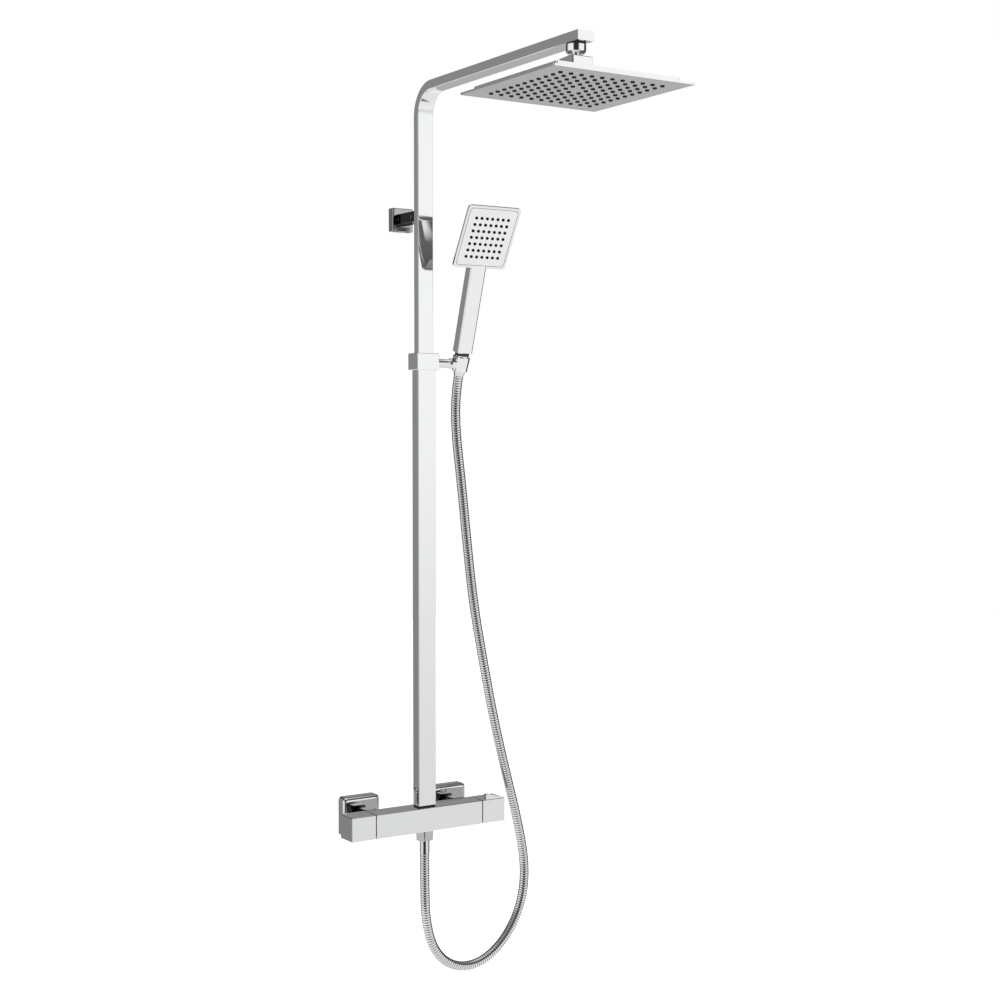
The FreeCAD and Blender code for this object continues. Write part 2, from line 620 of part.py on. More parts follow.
def upper_tube():
    """The sliding inner tube, bent forward into the arm."""
    end = ARM_END + END_CAP
    tube = bent_bar(UPPER_WIDTH, UPPER_DEPTH, TUBE_CORNER, UPPER_BOTTOM, end)
    inner_width = UPPER_WIDTH - 2 * TUBE_WALL
    inner_depth = UPPER_DEPTH - 2 * TUBE_WALL
    tube = tube.cut(bent_bar(inner_width, inner_depth, TUBE_CORNER / 2, UPPER_BOTTOM, end))
    tube = tube.cut(rod(STUD_SPIGOT_R + RUNNING, V(0, HEAD_Y, ARM_UNDERSIDE),
                        V(0, HEAD_Y, ARM_UNDERSIDE + TUBE_WALL)))
    return tube.cut(rod(SPIGOT_SHANK_R, V(0, RISER_Y, BRACKET_HEIGHT), V(0, RISER_BACK, BRACKET_HEIGHT)))


def arm_end_cap():
    """The flat cap over the end of the arm, with a plug inside it."""
    cap = Part.Face(rounded_outline(UPPER_WIDTH, UPPER_DEPTH, TUBE_CORNER)).extrude(V(0, 0, END_CAP))
    plug_width = UPPER_WIDTH - 2 * TUBE_WALL - SLIP
    plug_depth = UPPER_DEPTH - 2 * TUBE_WALL - SLIP
    plug = Part.Face(rounded_outline(plug_width, plug_depth, TUBE_CORNER / 2)).extrude(V(0, 0, CAP_PLUG + ROOT))
    plug.translate(V(0, 0, END_CAP - ROOT))
    cap = cap.fuse(plug)
    cap.rotate(V(0, 0, 0), X_AXIS, -90)
    cap.translate(V(0, ARM_END, ARM_AXIS))
    return cap


def arm_outlet():
    """The brass block inside the arm that takes the ball joint's thread."""
    inner = UPPER_WIDTH / 2 - TUBE_WALL - SLIP / 2
    z = (ARM_UNDERSIDE + TUBE_WALL, ARM_TOP - TUBE_WALL - SLIP)
    boss = block((-inner, inner), (HEAD_Y - OUTLET_BLOCK_FRONT, HEAD_Y + OUTLET_BLOCK_BACK), z)
    boss = boss.makeChamfer(TUBE_CORNER / 2, edges_along(boss, Y_AXIS))
    socket_top = ARM_UNDERSIDE + STUD_SPIGOT + SLIP
    boss = boss.cut(rod(STUD_SPIGOT_R + RUNNING, V(0, HEAD_Y, z[0]), V(0, HEAD_Y, socket_top)))
    mid = (z[0] + z[1]) / 2
    return boss.cut(rod(OUTLET_PORT_R, V(0, HEAD_Y, mid), V(0, HEAD_Y + OUTLET_BLOCK_BACK, mid)))


def telescope_plug():
    """The plug on the inner tube's lower end, which slides in the outer tube."""
    centre = (0, RISER_Y)
    low = UPPER_BOTTOM - PLUG_LENGTH
    plug = bar(LOWER_INNER_WIDTH - 2 * SLIP, LOWER_INNER_DEPTH - 2 * SLIP, TUBE_CORNER, centre,
               (low, UPPER_BOTTOM))
    spigot = bar(UPPER_WIDTH - 2 * TUBE_WALL - SLIP, UPPER_DEPTH - 2 * TUBE_WALL - SLIP, TUBE_CORNER / 2, centre,
                 (UPPER_BOTTOM - ROOT, UPPER_BOTTOM + PLUG_SPIGOT))
    plug = plug.fuse(spigot)
    for seal in telescope_seals():
        plug = plug.cut(seal)
    return plug.cut(rod(PLUG_BORE_R, V(0, RISER_Y, low), V(0, RISER_Y, UPPER_BOTTOM + PLUG_SPIGOT)))


def telescope_seals():
    """Two ring seals in the plug's grooves."""
    rings = []
    core = (LOWER_INNER_WIDTH - 2 * SEAL_WIDE, LOWER_INNER_DEPTH - 2 * SEAL_WIDE)
    for drop in SEAL_DROPS:
        z = (UPPER_BOTTOM - drop - SEAL_TALL, UPPER_BOTTOM - drop)
        ring = bar(LOWER_INNER_WIDTH - 2 * RUNNING, LOWER_INNER_DEPTH - 2 * RUNNING, TUBE_CORNER, (0, RISER_Y), z)
        rings.append(ring.cut(bar(*core, TUBE_CORNER, (0, RISER_Y), z)))
    return rings


# ---------------------------------------------------------------- upper wall bracket
def riser_spigot():
    """The peg on the back of the riser that the bracket clamps."""
    z = BRACKET_HEIGHT
    peg = rod(BRACKET_PIN_R, V(0, RISER_BACK, z), V(0, RISER_BACK + RISER_SPIGOT_LENGTH, z))
    tip = V(0, RISER_BACK - TUBE_WALL - SPIGOT_SHANK, z)
    return peg.fuse(rod(SPIGOT_SHANK_R, tip, V(0, RISER_BACK + ROOT, z)))


def bracket_grub_screws():
    """The two grub screws in the left side of the bracket's arm."""
    screws = []
    for y in (-BRACKET_FLANGE_DEPTH - GRUB_FROM_FLANGE, RISER_BACK + GRUB_FROM_RISER):
        screws.append(rod(GRUB_R, V(GRUB_SUNK - BRACKET_ARM_WIDTH / 2, y, BRACKET_HEIGHT),
                          V(-BRACKET_PIN_R, y, BRACKET_HEIGHT)))
    return screws


def bracket_arm():
    """The square arm from the wall plate to the riser."""
    z = BRACKET_HEIGHT
    wide = BRACKET_ARM_WIDTH / 2
    tall = BRACKET_ARM_HEIGHT / 2
    arm = block((-wide, wide), (RISER_BACK, -BRACKET_PLATE - LOOSE), (z - tall, z + tall))
    arm = arm.makeChamfer(BRACKET_EDGE, edges_along(arm, Y_AXIS))
    front_floor = RISER_BACK + RISER_SPIGOT_LENGTH + LOOSE
    back_floor = -BRACKET_PLATE - BRACKET_PIN_LENGTH - LOOSE
    arm = arm.cut(rod(BRACKET_PIN_R + SLIP, V(0, RISER_BACK, z), V(0, front_floor, z)))
    arm = arm.cut(rod(BRACKET_PIN_R + SLIP, V(0, back_floor, z), V(0, 0, z)))
    for screw in bracket_grub_screws():
        centre = screw.CenterOfMass
        arm = arm.cut(rod(GRUB_R, V(-wide, centre.y, z), V(0, centre.y, z)))
    return arm


def bracket_wall_plate():
    """The hidden plate screwed to the wall, with the peg that the arm slides on."""
    z = BRACKET_HEIGHT
    half = BRACKET_PLATE_SIDE / 2
    plate = block((-half, half), (-BRACKET_PLATE, 0), (z - half, z + half))
    plate = plate.fuse(rod(BRACKET_PIN_R, V(0, -ROOT, z), V(0, -BRACKET_PLATE - BRACKET_PIN_LENGTH, z)))
    for side in (-1, 1):
        x = side * BRACKET_SCREW_SPACING / 2
        plate = plate.cut(rod(BRACKET_SCREW_R + SLIP, V(x, -BRACKET_PLATE, z), V(x, 0, z)))
        plate = plate.cut(taper(BRACKET_SCREW_R + COUNTERSINK, BRACKET_SCREW_R, V(x, -BRACKET_PLATE, z),
                                V(x, COUNTERSINK_DEPTH - BRACKET_PLATE, z)))
    return plate


def bracket_flange():
    """The small square cover that slides along the arm to the wall."""
    z = BRACKET_HEIGHT
    half = BRACKET_FLANGE_SIDE / 2
    inner = half - BRACKET_FLANGE_WALL
    shell = block((-half, half), (-BRACKET_FLANGE_DEPTH, 0), (z - half, z + half))
    outer_edges = edges_on(shell, "y", -BRACKET_FLANGE_DEPTH) + edges_along(shell, Y_AXIS)
    shell = shell.makeFillet(BRACKET_FLANGE_ROUND, outer_edges)
    floor = BRACKET_FLANGE_WALL - BRACKET_FLANGE_DEPTH
    shell = shell.cut(block((-inner, inner), (floor, 0), (z - inner, z + inner)))
    wide = BRACKET_ARM_WIDTH / 2 + LOOSE
    tall = BRACKET_ARM_HEIGHT / 2 + LOOSE
    return shell.cut(block((-wide, wide), (-BRACKET_FLANGE_DEPTH, 0), (z - tall, z + tall)))


# ---------------------------------------------------------------- overhead head
def ball_stud():
    """The stud that screws into the arm and ends in the ball."""
    top = ARM_UNDERSIDE - STUD_WASHER
    low = BLOCK_TOP + STUD_GAP
    ball = BALL_CENTRE
    shape = Part.makeSphere(BALL_R, ball)
    shape = shape.fuse(rod(NECK_R, ball, V(0, HEAD_Y, low + ROOT)))
    shape = shape.fuse(taper(STUD_R - STUD_CHAMFER, STUD_R, V(0, HEAD_Y, low), V(0, HEAD_Y, low + STUD_CHAMFER)))
    shape = shape.fuse(rod(STUD_R, V(0, HEAD_Y, low + STUD_CHAMFER), V(0, HEAD_Y, top)))
    shape = shape.fuse(rod(STUD_SPIGOT_R, V(0, HEAD_Y, top - ROOT), V(0, HEAD_Y, ARM_UNDERSIDE + STUD_SPIGOT)))
    return shape.cut(rod(BALL_BORE_R, V(0, HEAD_Y, ball.z - BALL_R), V(0, HEAD_Y, ARM_UNDERSIDE + STUD_SPIGOT)))


def stud_washer():
    """The dark washer between the stud and the arm."""
    z = (ARM_UNDERSIDE - STUD_WASHER, ARM_UNDERSIDE - RUNNING)
    washer = rod(STUD_R - STUD_WASHER_INSET, V(0, HEAD_Y, z[0]), V(0, HEAD_Y, z[1]))
    return washer.cut(rod(STUD_SPIGOT_R + SLIP, V(0, HEAD_Y, z[0]), V(0, HEAD_Y, z[1])))


def ball_liner():
    """The thin plastic shell between the ball and its block."""
    outer_r = BALL_R + RUNNING + BALL_LINER
    shell = Part.makeSphere(outer_r, BALL_CENTRE).cut(Part.makeSphere(BALL_R + RUNNING, BALL_CENTRE))
    ball = BALL_CENTRE
    shell = shell.cut(rod(LINER_MOUTH_R, ball, V(0, HEAD_Y, ball.z + outer_r + ROOT)))
    return shell.cut(rod(LINER_MOUTH_R, V(0, HEAD_Y, ball.z - outer_r - ROOT), ball))


def head_block():
    """The square block on the head, with the cavity that holds the ball."""
    half = BLOCK_SIDE / 2
    shape = block((-half, half), (HEAD_Y - half, HEAD_Y + half), (HEAD_TOP, BLOCK_TOP))
    shape = shape.makeChamfer(BLOCK_EDGE, edges_along(shape, Z_AXIS) + edges_on(shape, "z", BLOCK_TOP))
    shape = shape.cut(Part.makeSphere(CAVITY_R, BALL_CENTRE))
    shape = shape.cut(rod(BLOCK_MOUTH_R, BALL_CENTRE, V(0, HEAD_Y, BLOCK_TOP)))
    return shape.cut(rod(CAVITY_R, V(0, HEAD_Y, HEAD_TOP), V(0, HEAD_Y, SEAT_TOP)))


def ball_seat():
    """The threaded ring under the ball that carries it from below."""
    ring = rod(CAVITY_R - SLIP, V(0, HEAD_Y, HEAD_TOP + 2 * SLIP), V(0, HEAD_Y, SEAT_TOP - 2 * SLIP))
    ring = ring.cut(Part.makeSphere(CAVITY_R, BALL_CENTRE))
    return ring.cut(rod(SEAT_BORE_R, V(0, HEAD_Y, HEAD_TOP), BALL_CENTRE))


def head_shell():
    """The two-tier chromed shell of the overhead head, hollow for water."""
    half = HEAD_SIDE / 2
    tier_half = half - HEAD_TIER_INSET
    low = HEAD_UNDERSIDE
    mid = low + HEAD_PLATE
    centre = (0, HEAD_Y)
    shell = bar(HEAD_SIDE, HEAD_SIDE, HEAD_CORNER, centre, (low, mid))
    shell = shell.fuse(bar(2 * tier_half, 2 * tier_half, HEAD_CORNER, centre, (mid - ROOT, HEAD_TOP)))
    chamber = tier_half - HEAD_SIDE_WALL
    shell = shell.cut(block((-chamber, chamber), (HEAD_Y - chamber, HEAD_Y + chamber),
                            (low + HEAD_FACE, HEAD_TOP - HEAD_TOP_WALL)))
    face = HEAD_SIDE - 2 * HEAD_FACE_INSET
    shell = shell.cut(bar(face, face, HEAD_CORNER, centre, (low, low + HEAD_FACE)))
    return shell.cut(rod(SEAT_BORE_R, V(0, HEAD_Y, HEAD_TOP - HEAD_TOP_WALL), V(0, HEAD_Y, HEAD_TOP)))


def nozzle_places():
    """The X and Y offsets of the head's nozzles: a square grid without its middle."""
    middle = NOZZLE_ROWS // 2
    for row in range(NOZZLE_ROWS):
        for column in range(NOZZLE_ROWS):
            if row != middle or column != middle:
                yield (column - middle) * NOZZLE_PITCH, (row - middle) * NOZZLE_PITCH


def head_nozzles(radius, low, high):
    """Round bars at every nozzle's place, between two heights."""
    return [rod(radius, V(x, HEAD_Y + y, low), V(x, HEAD_Y + y, high)) for x, y in nozzle_places()]


def head_face_plate():
    """The spray plate let into the underside of the head."""
    side = HEAD_SIDE - 2 * HEAD_FACE_INSET - SLIP
    plate = bar(side, side, HEAD_CORNER, (0, HEAD_Y), (HEAD_UNDERSIDE, HEAD_UNDERSIDE + HEAD_FACE))
    holes = head_nozzles(NOZZLE_R, HEAD_UNDERSIDE, HEAD_UNDERSIDE + HEAD_FACE)
    return plate.cut(Part.makeCompound(holes))


def head_gasket():
    """The thin gasket round the water chamber, on top of the spray plate."""
    side = HEAD_SIDE - 2 * (HEAD_TIER_INSET + HEAD_SIDE_WALL + SLIP)
    inner = side - 2 * HEAD_GASKET_WIDTH
    z = (HEAD_UNDERSIDE + HEAD_FACE, HEAD_UNDERSIDE + HEAD_FACE + HEAD_GASKET)
    ring = bar(side, side, HEAD_CORNER, (0, HEAD_Y), z)
    return ring.cut(bar(inner, inner, HEAD_CORNER, (0, HEAD_Y), z))


# ---------------------------------------------------------------- handset holder
def leaning(shape, extra=0.0):
    """Lean a piece built upright round the world origin, and set it on the holder's pivot."""
    copy = shape.copy()
    copy.rotate(V(0, 0, 0), X_AXIS, HOLDER_LEAN + extra)
    copy.translate(PIVOT)
    return copy


def cup_cavity(clearance):
    """The conical space that the hose nut fills, grown by a clearance."""
    slope = (NUT_TOP_R - NUT_SEAT_R) / (NUT_TOP - CUP_BOTTOM)
    low_r = NUT_SEAT_R + clearance - slope * ROOT
    high_r = NUT_TOP_R + clearance + slope * ROOT
    return taper(low_r, high_r, V(0, 0, CUP_BOTTOM - ROOT), V(0, 0, NUT_TOP + ROOT))


def holder_rod():
    """The round rod from the collar to the holder, with the pivot spigot on its end."""
    y = RISER_Y
    z = ROD_HEIGHT
    washer_face = BOSS_END - FRICTION_WASHER
    flare = V(washer_face - ROD_FLARE, y, z)
    shape = rod(ROD_SHANK_R, V(LOWER_WIDTH / 2 + SLIP, y, z), V(COLLAR_HALF + ROOT, y, z))
    shape = shape.fuse(rod(ROD_R, V(COLLAR_HALF, y, z), flare))
    shape = shape.fuse(taper(ROD_R, BOSS_R, flare, V(washer_face, y, z)))
    end = HOLDER_X - CUP_TOP_R + SLIP
    shape = shape.fuse(rod(PIVOT_R, V(washer_face - ROOT, y, z), V(end, y, z)))
    return shape.cut(rod(PIVOT_SCREW_R, V(end - PIVOT_HOLE, y, z), V(end, y, z)))


def friction_washer():
    """The washer that holds the holder's angle by friction."""
    start = V(BOSS_END - FRICTION_WASHER, RISER_Y, ROD_HEIGHT)
    end = V(BOSS_END - RUNNING, RISER_Y, ROD_HEIGHT)
    return rod(BOSS_R, start, end).cut(rod(PIVOT_R + SLIP, start, end))


def holder_cup():
    """The slotted conical cup with the boss that turns on the rod's spigot."""
    cup = taper(CUP_BOTTOM_R, CUP_TOP_R, V(0, 0, CUP_BOTTOM), V(0, 0, CUP_TOP))
    cup = cup.fuse(rod(BOSS_R, V(-BOSS_LENGTH, 0, 0), V(BOSS_IN_CUP - CUP_BOTTOM_R, 0, 0)))
    cup = cup.cut(cup_cavity(SEAT_GAP))
    slot_z = (CUP_BOTTOM - ROOT, CUP_TOP + ROOT)
    cup = cup.cut(block((0, CUP_TOP_R + ROOT), (-CUP_SLOT / 2, CUP_SLOT / 2), slot_z))
    cup = cup.cut(rod(PIVOT_R + RUNNING, V(-BOSS_LENGTH - ROOT, 0, 0), V(LOOSE - CUP_TOP_R, 0, 0)))
    cup = cup.cut(rod(PIVOT_HEAD_R + RUNNING, V(SLIP - CUP_TOP_R, 0, 0), V(0, 0, 0)))
    return leaning(cup)


def pivot_screw():
    """The screw inside the cup that keeps it on the rod's spigot."""
    start = V(HOLDER_X - CUP_TOP_R + PIVOT_GAP, RISER_Y, ROD_HEIGHT)
    head = rod(PIVOT_HEAD_R, start, start + V(PIVOT_HEAD, 0, 0))
    return head.fuse(rod(PIVOT_SCREW_R, start - V(PIVOT_SCREW_LENGTH, 0, 0), start + V(ROOT, 0, 0)))


# ---------------------------------------------------------------- handset, built upright and then leaned
def hose_cone_nut():
    """The conical nut on the hose, which sits in the cup."""
    nut = taper(NUT_SEAT_R, NUT_TOP_R, V(0, 0, CUP_BOTTOM), V(0, 0, NUT_TOP))
    nut = nut.fuse(taper(NUT_END_R, NUT_SEAT_R, V(0, 0, NUT_END), V(0, 0, CUP_BOTTOM)))
    nut = nut.cut(rod(INLET_THREAD_R, V(0, 0, 0), V(0, 0, NUT_TOP)))
    nut = nut.cut(rod(SLEEVE_R + SLIP, V(0, 0, NUT_END), V(0, 0, NUT_TOP)))
    return leaning(nut)


def hose_upper_sleeve():
    """The crimped sleeve on the hose's upper end, inside the conical nut."""
    sleeve = rod(SLEEVE_R, V(0, 0, NUT_END), V(0, 0, SLEEVE_TOP))
    sleeve = sleeve.fuse(rod(INLET_THREAD_R - SLIP, V(0, 0, SLEEVE_SEAT), V(0, 0, SLEEVE_TOP)))
    return leaning(sleeve.cut(rod(FERRULE_BORE_R, V(0, 0, NUT_END), V(0, 0, SLEEVE_TOP))))


def handset_inlet():
    """The threaded brass insert at the foot of the handle."""
    insert = rod(INLET_THREAD_R - RUNNING, V(0, 0, SLEEVE_TOP), V(0, 0, INLET_END))
    return leaning(insert.cut(rod(INLET_BORE_R, V(0, 0, SLEEVE_TOP), V(0, 0, INLET_END))))


def handset_seal_ring():
    """The dark ring between the handle and the conical nut."""
    ring = rod(SEAL_RING_R, V(0, 0, NUT_TOP + SLIP), V(0, 0, HANDLE_START))
    return leaning(ring.cut(rod(INLET_THREAD_R, V(0, 0, NUT_TOP), V(0, 0, HANDLE_START))))


def bent_forward(shape):
    """Move a piece built on the spray face's own axes onto the end of the handle."""
    copy = shape.copy()
    copy.rotate(V(0, 0, 0), X_AXIS, HANDSET_BEND)
    copy.translate(V(0, HANDSET_SET_BACK - HANDLE_TOP_DEPTH / 2, HANDLE_START + HANDLE_TALL))
    return leaning(copy)


def handset_handle():
    """The slim four-sided handle, hollow for the water tube."""
    top = HANDLE_START + HANDLE_TALL + HANDLE_INTO_HEAD
    handle = leaning(tapered_bar((HANDLE_FOOT_WIDTH, HANDLE_FOOT_DEPTH), (HANDLE_TOP_WIDTH, HANDLE_TOP_DEPTH),
                                 (HANDLE_START, top), HANDLE_ROUND))
    handle = handle.cut(leaning(rod(INLET_THREAD_R, V(0, 0, HANDLE_START), V(0, 0, INLET_END))))
    handle = handle.cut(leaning(rod(WATER_TUBE_R + SLIP, V(0, 0, HANDLE_START), V(0, 0, top))))
    return handle.cut(head_space())


def water_tube():
    """The plastic tube that carries water up the handle."""
    start = V(0, 0, INLET_END)
    end = V(0, 0, HANDLE_START + HANDLE_TALL - HANDLE_INTO_HEAD)
    return leaning(rod(WATER_TUBE_R, start, end).cut(rod(WATER_TUBE_R - TUBE_WALL, start, end)))


def spray_outline(width, height, depth):
    """A rounded rectangle parallel to the spray face, standing on its lower edge."""
    outline = rounded_outline(width, height, HANDSET_CORNER)
    outline.rotate(V(0, 0, 0), X_AXIS, 90)
    outline.translate(V(0, depth, HANDSET_HEIGHT / 2))
    return outline


def head_space():
    """The solid outer form of the handset's square head."""
    rim = Part.Face(spray_outline(HANDSET_WIDTH, HANDSET_HEIGHT, 0)).extrude(V(0, HANDSET_RIM, 0))
    foot = (HANDSET_WIDTH - 2 * HANDSET_STEP, HANDSET_HEIGHT - 2 * HANDSET_STEP)
    top = (HANDSET_WIDTH - 2 * HANDSET_SLOPE, HANDSET_HEIGHT - 2 * HANDSET_SLOPE)
    back = tapered_bar(foot, top, (0, HANDSET_BACK), HANDSET_CORNER)
    back.rotate(V(0, 0, 0), X_AXIS, -90)
    back.translate(V(0, HANDSET_RIM, HANDSET_HEIGHT / 2))
    return bent_forward(rim.fuse(back))


def spray_points():
    """The X and Z places of the handset's nozzles on its face."""
    middle = SPRAY_ROWS // 2
    for row in range(SPRAY_ROWS):
        for column in range(SPRAY_ROWS):
            yield (column - middle) * SPRAY_PITCH_X, SPRAY_CENTRE + (row - middle) * SPRAY_PITCH_Z


def spray_nozzles(front, back):
    """Round bars at every spray nozzle, between two depths."""
    return [rod(SPRAY_R, V(x, front, z), V(x, back, z)) for x, z in spray_points()]


def spray_panel(grow, depth):
    """The spray plate's outline as a solid that reaches a depth behind the face."""
    inset = 2 * HANDSET_FACE_INSET - grow
    panel = Part.Face(spray_outline(HANDSET_WIDTH - inset, HANDSET_HEIGHT - inset, 0))
    return panel.extrude(V(0, depth, 0))


def handset_shell():
    """The square head's shell, with a shallow water chamber behind the spray plate."""
    shell = head_space()
    shell = shell.cut(bent_forward(spray_panel(0.0, HANDSET_FACE)))
    chamber = spray_outline(HANDSET_WIDTH - 2 * HANDSET_SLOPE, HANDSET_HEIGHT - 2 * HANDSET_SLOPE, 0)
    chamber = Part.Face(chamber).extrude(V(0, HANDSET_RIM + HANDSET_BACK - HANDSET_BACK_WALL, 0))
    return shell.cut(bent_forward(chamber))


def handset_face_plate():
    """The spray plate of the handset."""
    plate = spray_panel(-SLIP, HANDSET_FACE)
    plate = plate.cut(Part.makeCompound(spray_nozzles(0, HANDSET_FACE)))
    return bent_forward(plate)


# ---------------------------------------------------------------- hose
def hose_outlet():
    """The nipple under the valve that the hose screws onto."""
    top = V(0, RISER_Y, NIPPLE_DEPTH - VALVE_HALF)
    face = V(0, RISER_Y, -VALVE_HALF)
    end = V(0, RISER_Y, -VALVE_HALF - OUTLET_LENGTH)
    nipple = rod(NIPPLE_R, top, face).fuse(rod(OUTLET_R, face, end))
    return nipple.cut(rod(CHANNEL_R, top, end))


def hose_lower_washer():
    """The sealing washer under the outlet."""
    start = V(0, RISER_Y, -VALVE_HALF - OUTLET_LENGTH)
    end = start - V(0, 0, HOSE_WASHER)
    return rod(FERRULE_COLLAR_R, start, end).cut(rod(CHANNEL_R, start, end))


def hose_ferrule():
    """The crimped ferrule on the hose's lower end, held by the nut."""
    top = V(0, RISER_Y, -FERRULE_TOP)
    end = V(0, RISER_Y, -FERRULE_END)
    shape = rod(FERRULE_R, top, end).fuse(rod(FERRULE_COLLAR_R, top, top - V(0, 0, FERRULE_COLLAR)))
    return shape.cut(rod(FERRULE_BORE_R, top, end))


def hose_hex_nut():
    """The hexagonal nut that joins the hose to the valve."""
    start = V(0, RISER_Y, -HOSE_NUT_TOP)
    end = V(0, RISER_Y, -HOSE_NUT_TOP - HOSE_NUT_LENGTH)
    nut = nut_blank(HOSE_NUT_FLATS, start, end)
    lip = V(0, RISER_Y, -FERRULE_TOP - FERRULE_COLLAR)
    nut = nut.cut(rod(OUTLET_R + RUNNING, start, lip))
    return nut.cut(rod(FERRULE_R + RUNNING, start, end))


def hose_points():
    """The hose's route from the conical nut down, round and up to the ferrule."""
    lean = math.radians(HOLDER_LEAN)
    down = V(0, math.sin(lean), -math.cos(lean))
    start = PIVOT - down * NUT_END
    middle = [V(x * HOLDER_X, RISER_Y + back, z * ROD_HEIGHT) for x, back, z in HOSE_ROUTE]
    end = V(0, RISER_Y, -FERRULE_END)
    return [start, start + down * HOSE_LEAD] + middle + [end - V(0, 0, HOSE_TAIL), end]


def hose_tube():
    """The hose as a plain round tube: straight runs joined by arcs as large as the runs allow."""
    points = hose_points()
    edges = []
    radii = []
    last = points[0]
    for before, here, after in zip(points, points[1:], points[2:]):
        back = before - here
        ahead = after - here
        turn = math.pi - back.getAngle(ahead)
        reach = HOSE_ARC_SHARE * min(back.Length, ahead.Length)
        radius = reach / math.tan(turn / 2)
        print("hose bend %6.1f deg, radius %8.1f" % (math.degrees(turn), radius))
        radii.append(radius)
        start = here + back.normalize() * reach
        end = here + ahead.normalize() * reach
        inward = ((start + end) * 0.5 - here).normalize()
        centre = here + inward * (radius / math.cos(turn / 2))
        middle = centre - inward * radius
        edges.append(Part.makeLine(last, start))
        edges.append(Part.Arc(start, middle, end).toShape())
        last = end
    edges.append(Part.makeLine(last, points[-1]))
    wire = Part.Wire(edges)
    length = wire.Length
    profile = Part.Wire(Part.makeCircle(HOSE_R, points[0], points[1] - points[0]))
    tube = wire.makePipeShell([profile], True, False)
    volume = math.pi * HOSE_R ** 2 * length
    print("hose length %.1f, tightest radius %.1f, volume ratio %.4f" % (length, min(radii), tube.Volume / volume))
    return tube


def both_sides(shape):
    """A right-hand piece and its left-hand twin."""
    return [shape, mirrored(shape)]


def main():
    """Build every node."""
    os.makedirs("parts", exist_ok=True)
    save("valve_body", valve_body())
    save("thermostatic_cartridge", cartridge(-1, "temperature"))
    save("flow_cartridge", cartridge(1, "flow"))
    save("gland_nuts", [gland_nut(-1), gland_nut(1)])
    save("temperature_spindle", spindle(-1))
    save("flow_spindle", spindle(1))
    save("temperature_handle", valve_handle(-1))
    save("flow_handle", valve_handle(1).fuse(thumb_tab()))
    save("wall_flange_right", wall_flange())
    save("wall_flange_left", mirrored(wall_flange()))
    save("wall_connectors", both_sides(wall_connector()))
    save("inlet_seals", both_sides(inlet_seal()))
    save("inlet_nuts", both_sides(inlet_nut()))
    save("check_valves", both_sides(check_valve()))

    save("foot_gasket", foot_gasket())
    save("riser_nipple", riser_nipple())
    save("riser_foot", riser_foot())
    save("lower_tube", lower_tube())
    save("clamp_collar", clamp_collar())
    save("collar_liner", collar_liner())
    save("collar_screw", collar_screw(LOWER_DEPTH / 2 - TUBE_WALL))
    save("upper_tube", upper_tube())
    save("arm_end_cap", arm_end_cap())
    save("arm_outlet", arm_outlet())
    save("telescope_plug", telescope_plug())
    save("telescope_seals", telescope_seals())

    save("riser_spigot", riser_spigot())
    save("bracket_arm", bracket_arm())
    save("bracket_grub_screws", bracket_grub_screws())
    save("bracket_wall_plate", bracket_wall_plate())
    save("bracket_flange", bracket_flange())

    save("ball_stud", ball_stud())
    save("stud_washer", stud_washer())
    save("ball_liner", ball_liner())
    save("head_block", head_block())
    save("ball_seat", ball_seat())
    save("head_shell", head_shell())
    save("head_face_plate", head_face_plate())
    save("head_gasket", head_gasket())
    save("head_nozzles", head_nozzles(NOZZLE_R, HEAD_UNDERSIDE - NOZZLE_PROUD,
                                      HEAD_UNDERSIDE - NOZZLE_PROUD + NOZZLE_LENGTH))

    save("holder_rod", holder_rod())
    save("friction_washer", friction_washer())
    save("holder_cup", holder_cup())
    save("pivot_screw", pivot_screw())

    save("hose_cone_nut", hose_cone_nut())
    save("hose_upper_sleeve", hose_upper_sleeve())
    save("handset_inlet", handset_inlet())
    save("handset_seal_ring", handset_seal_ring())
    save("handset_handle", handset_handle())
    save("handset_water_tube", water_tube())
    save("handset_shell", handset_shell())
    save("handset_face_plate", handset_face_plate())
    save("handset_nozzles", bent_forward(Part.makeCompound(spray_nozzles(-SPRAY_PROUD, SPRAY_LENGTH - SPRAY_PROUD))))

    save("hose_outlet", hose_outlet())
    save("hose_lower_washer", hose_lower_washer())
    save("hose_ferrule", hose_ferrule())
    save("hose_hex_nut", hose_hex_nut())
    save("hose_tube", hose_tube())


main()
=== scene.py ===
"""Square rain shower column: finishes, fine detail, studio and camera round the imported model."""
import logging
import math
from dataclasses import dataclass, field
from enum import Enum
from typing import Callable, Sequence

import bmesh
import bpy
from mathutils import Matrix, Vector


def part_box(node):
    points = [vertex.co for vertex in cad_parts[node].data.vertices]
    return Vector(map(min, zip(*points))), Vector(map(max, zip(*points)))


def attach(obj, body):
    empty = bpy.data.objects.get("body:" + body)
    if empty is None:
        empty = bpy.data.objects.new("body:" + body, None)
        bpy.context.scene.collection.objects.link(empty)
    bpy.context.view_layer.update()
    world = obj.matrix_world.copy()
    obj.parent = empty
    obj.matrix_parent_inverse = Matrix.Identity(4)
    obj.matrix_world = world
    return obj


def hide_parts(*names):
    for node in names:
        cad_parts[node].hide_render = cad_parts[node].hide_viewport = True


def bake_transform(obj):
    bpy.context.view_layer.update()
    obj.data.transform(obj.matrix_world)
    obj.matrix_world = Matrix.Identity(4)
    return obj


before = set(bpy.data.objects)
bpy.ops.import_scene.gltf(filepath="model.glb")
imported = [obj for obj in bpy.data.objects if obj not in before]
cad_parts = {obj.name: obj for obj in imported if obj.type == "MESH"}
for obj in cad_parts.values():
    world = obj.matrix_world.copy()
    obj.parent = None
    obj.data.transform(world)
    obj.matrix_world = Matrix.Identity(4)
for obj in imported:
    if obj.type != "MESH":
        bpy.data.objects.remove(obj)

LOG = logging.getLogger("shower_column")
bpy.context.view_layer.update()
MM = 0.001

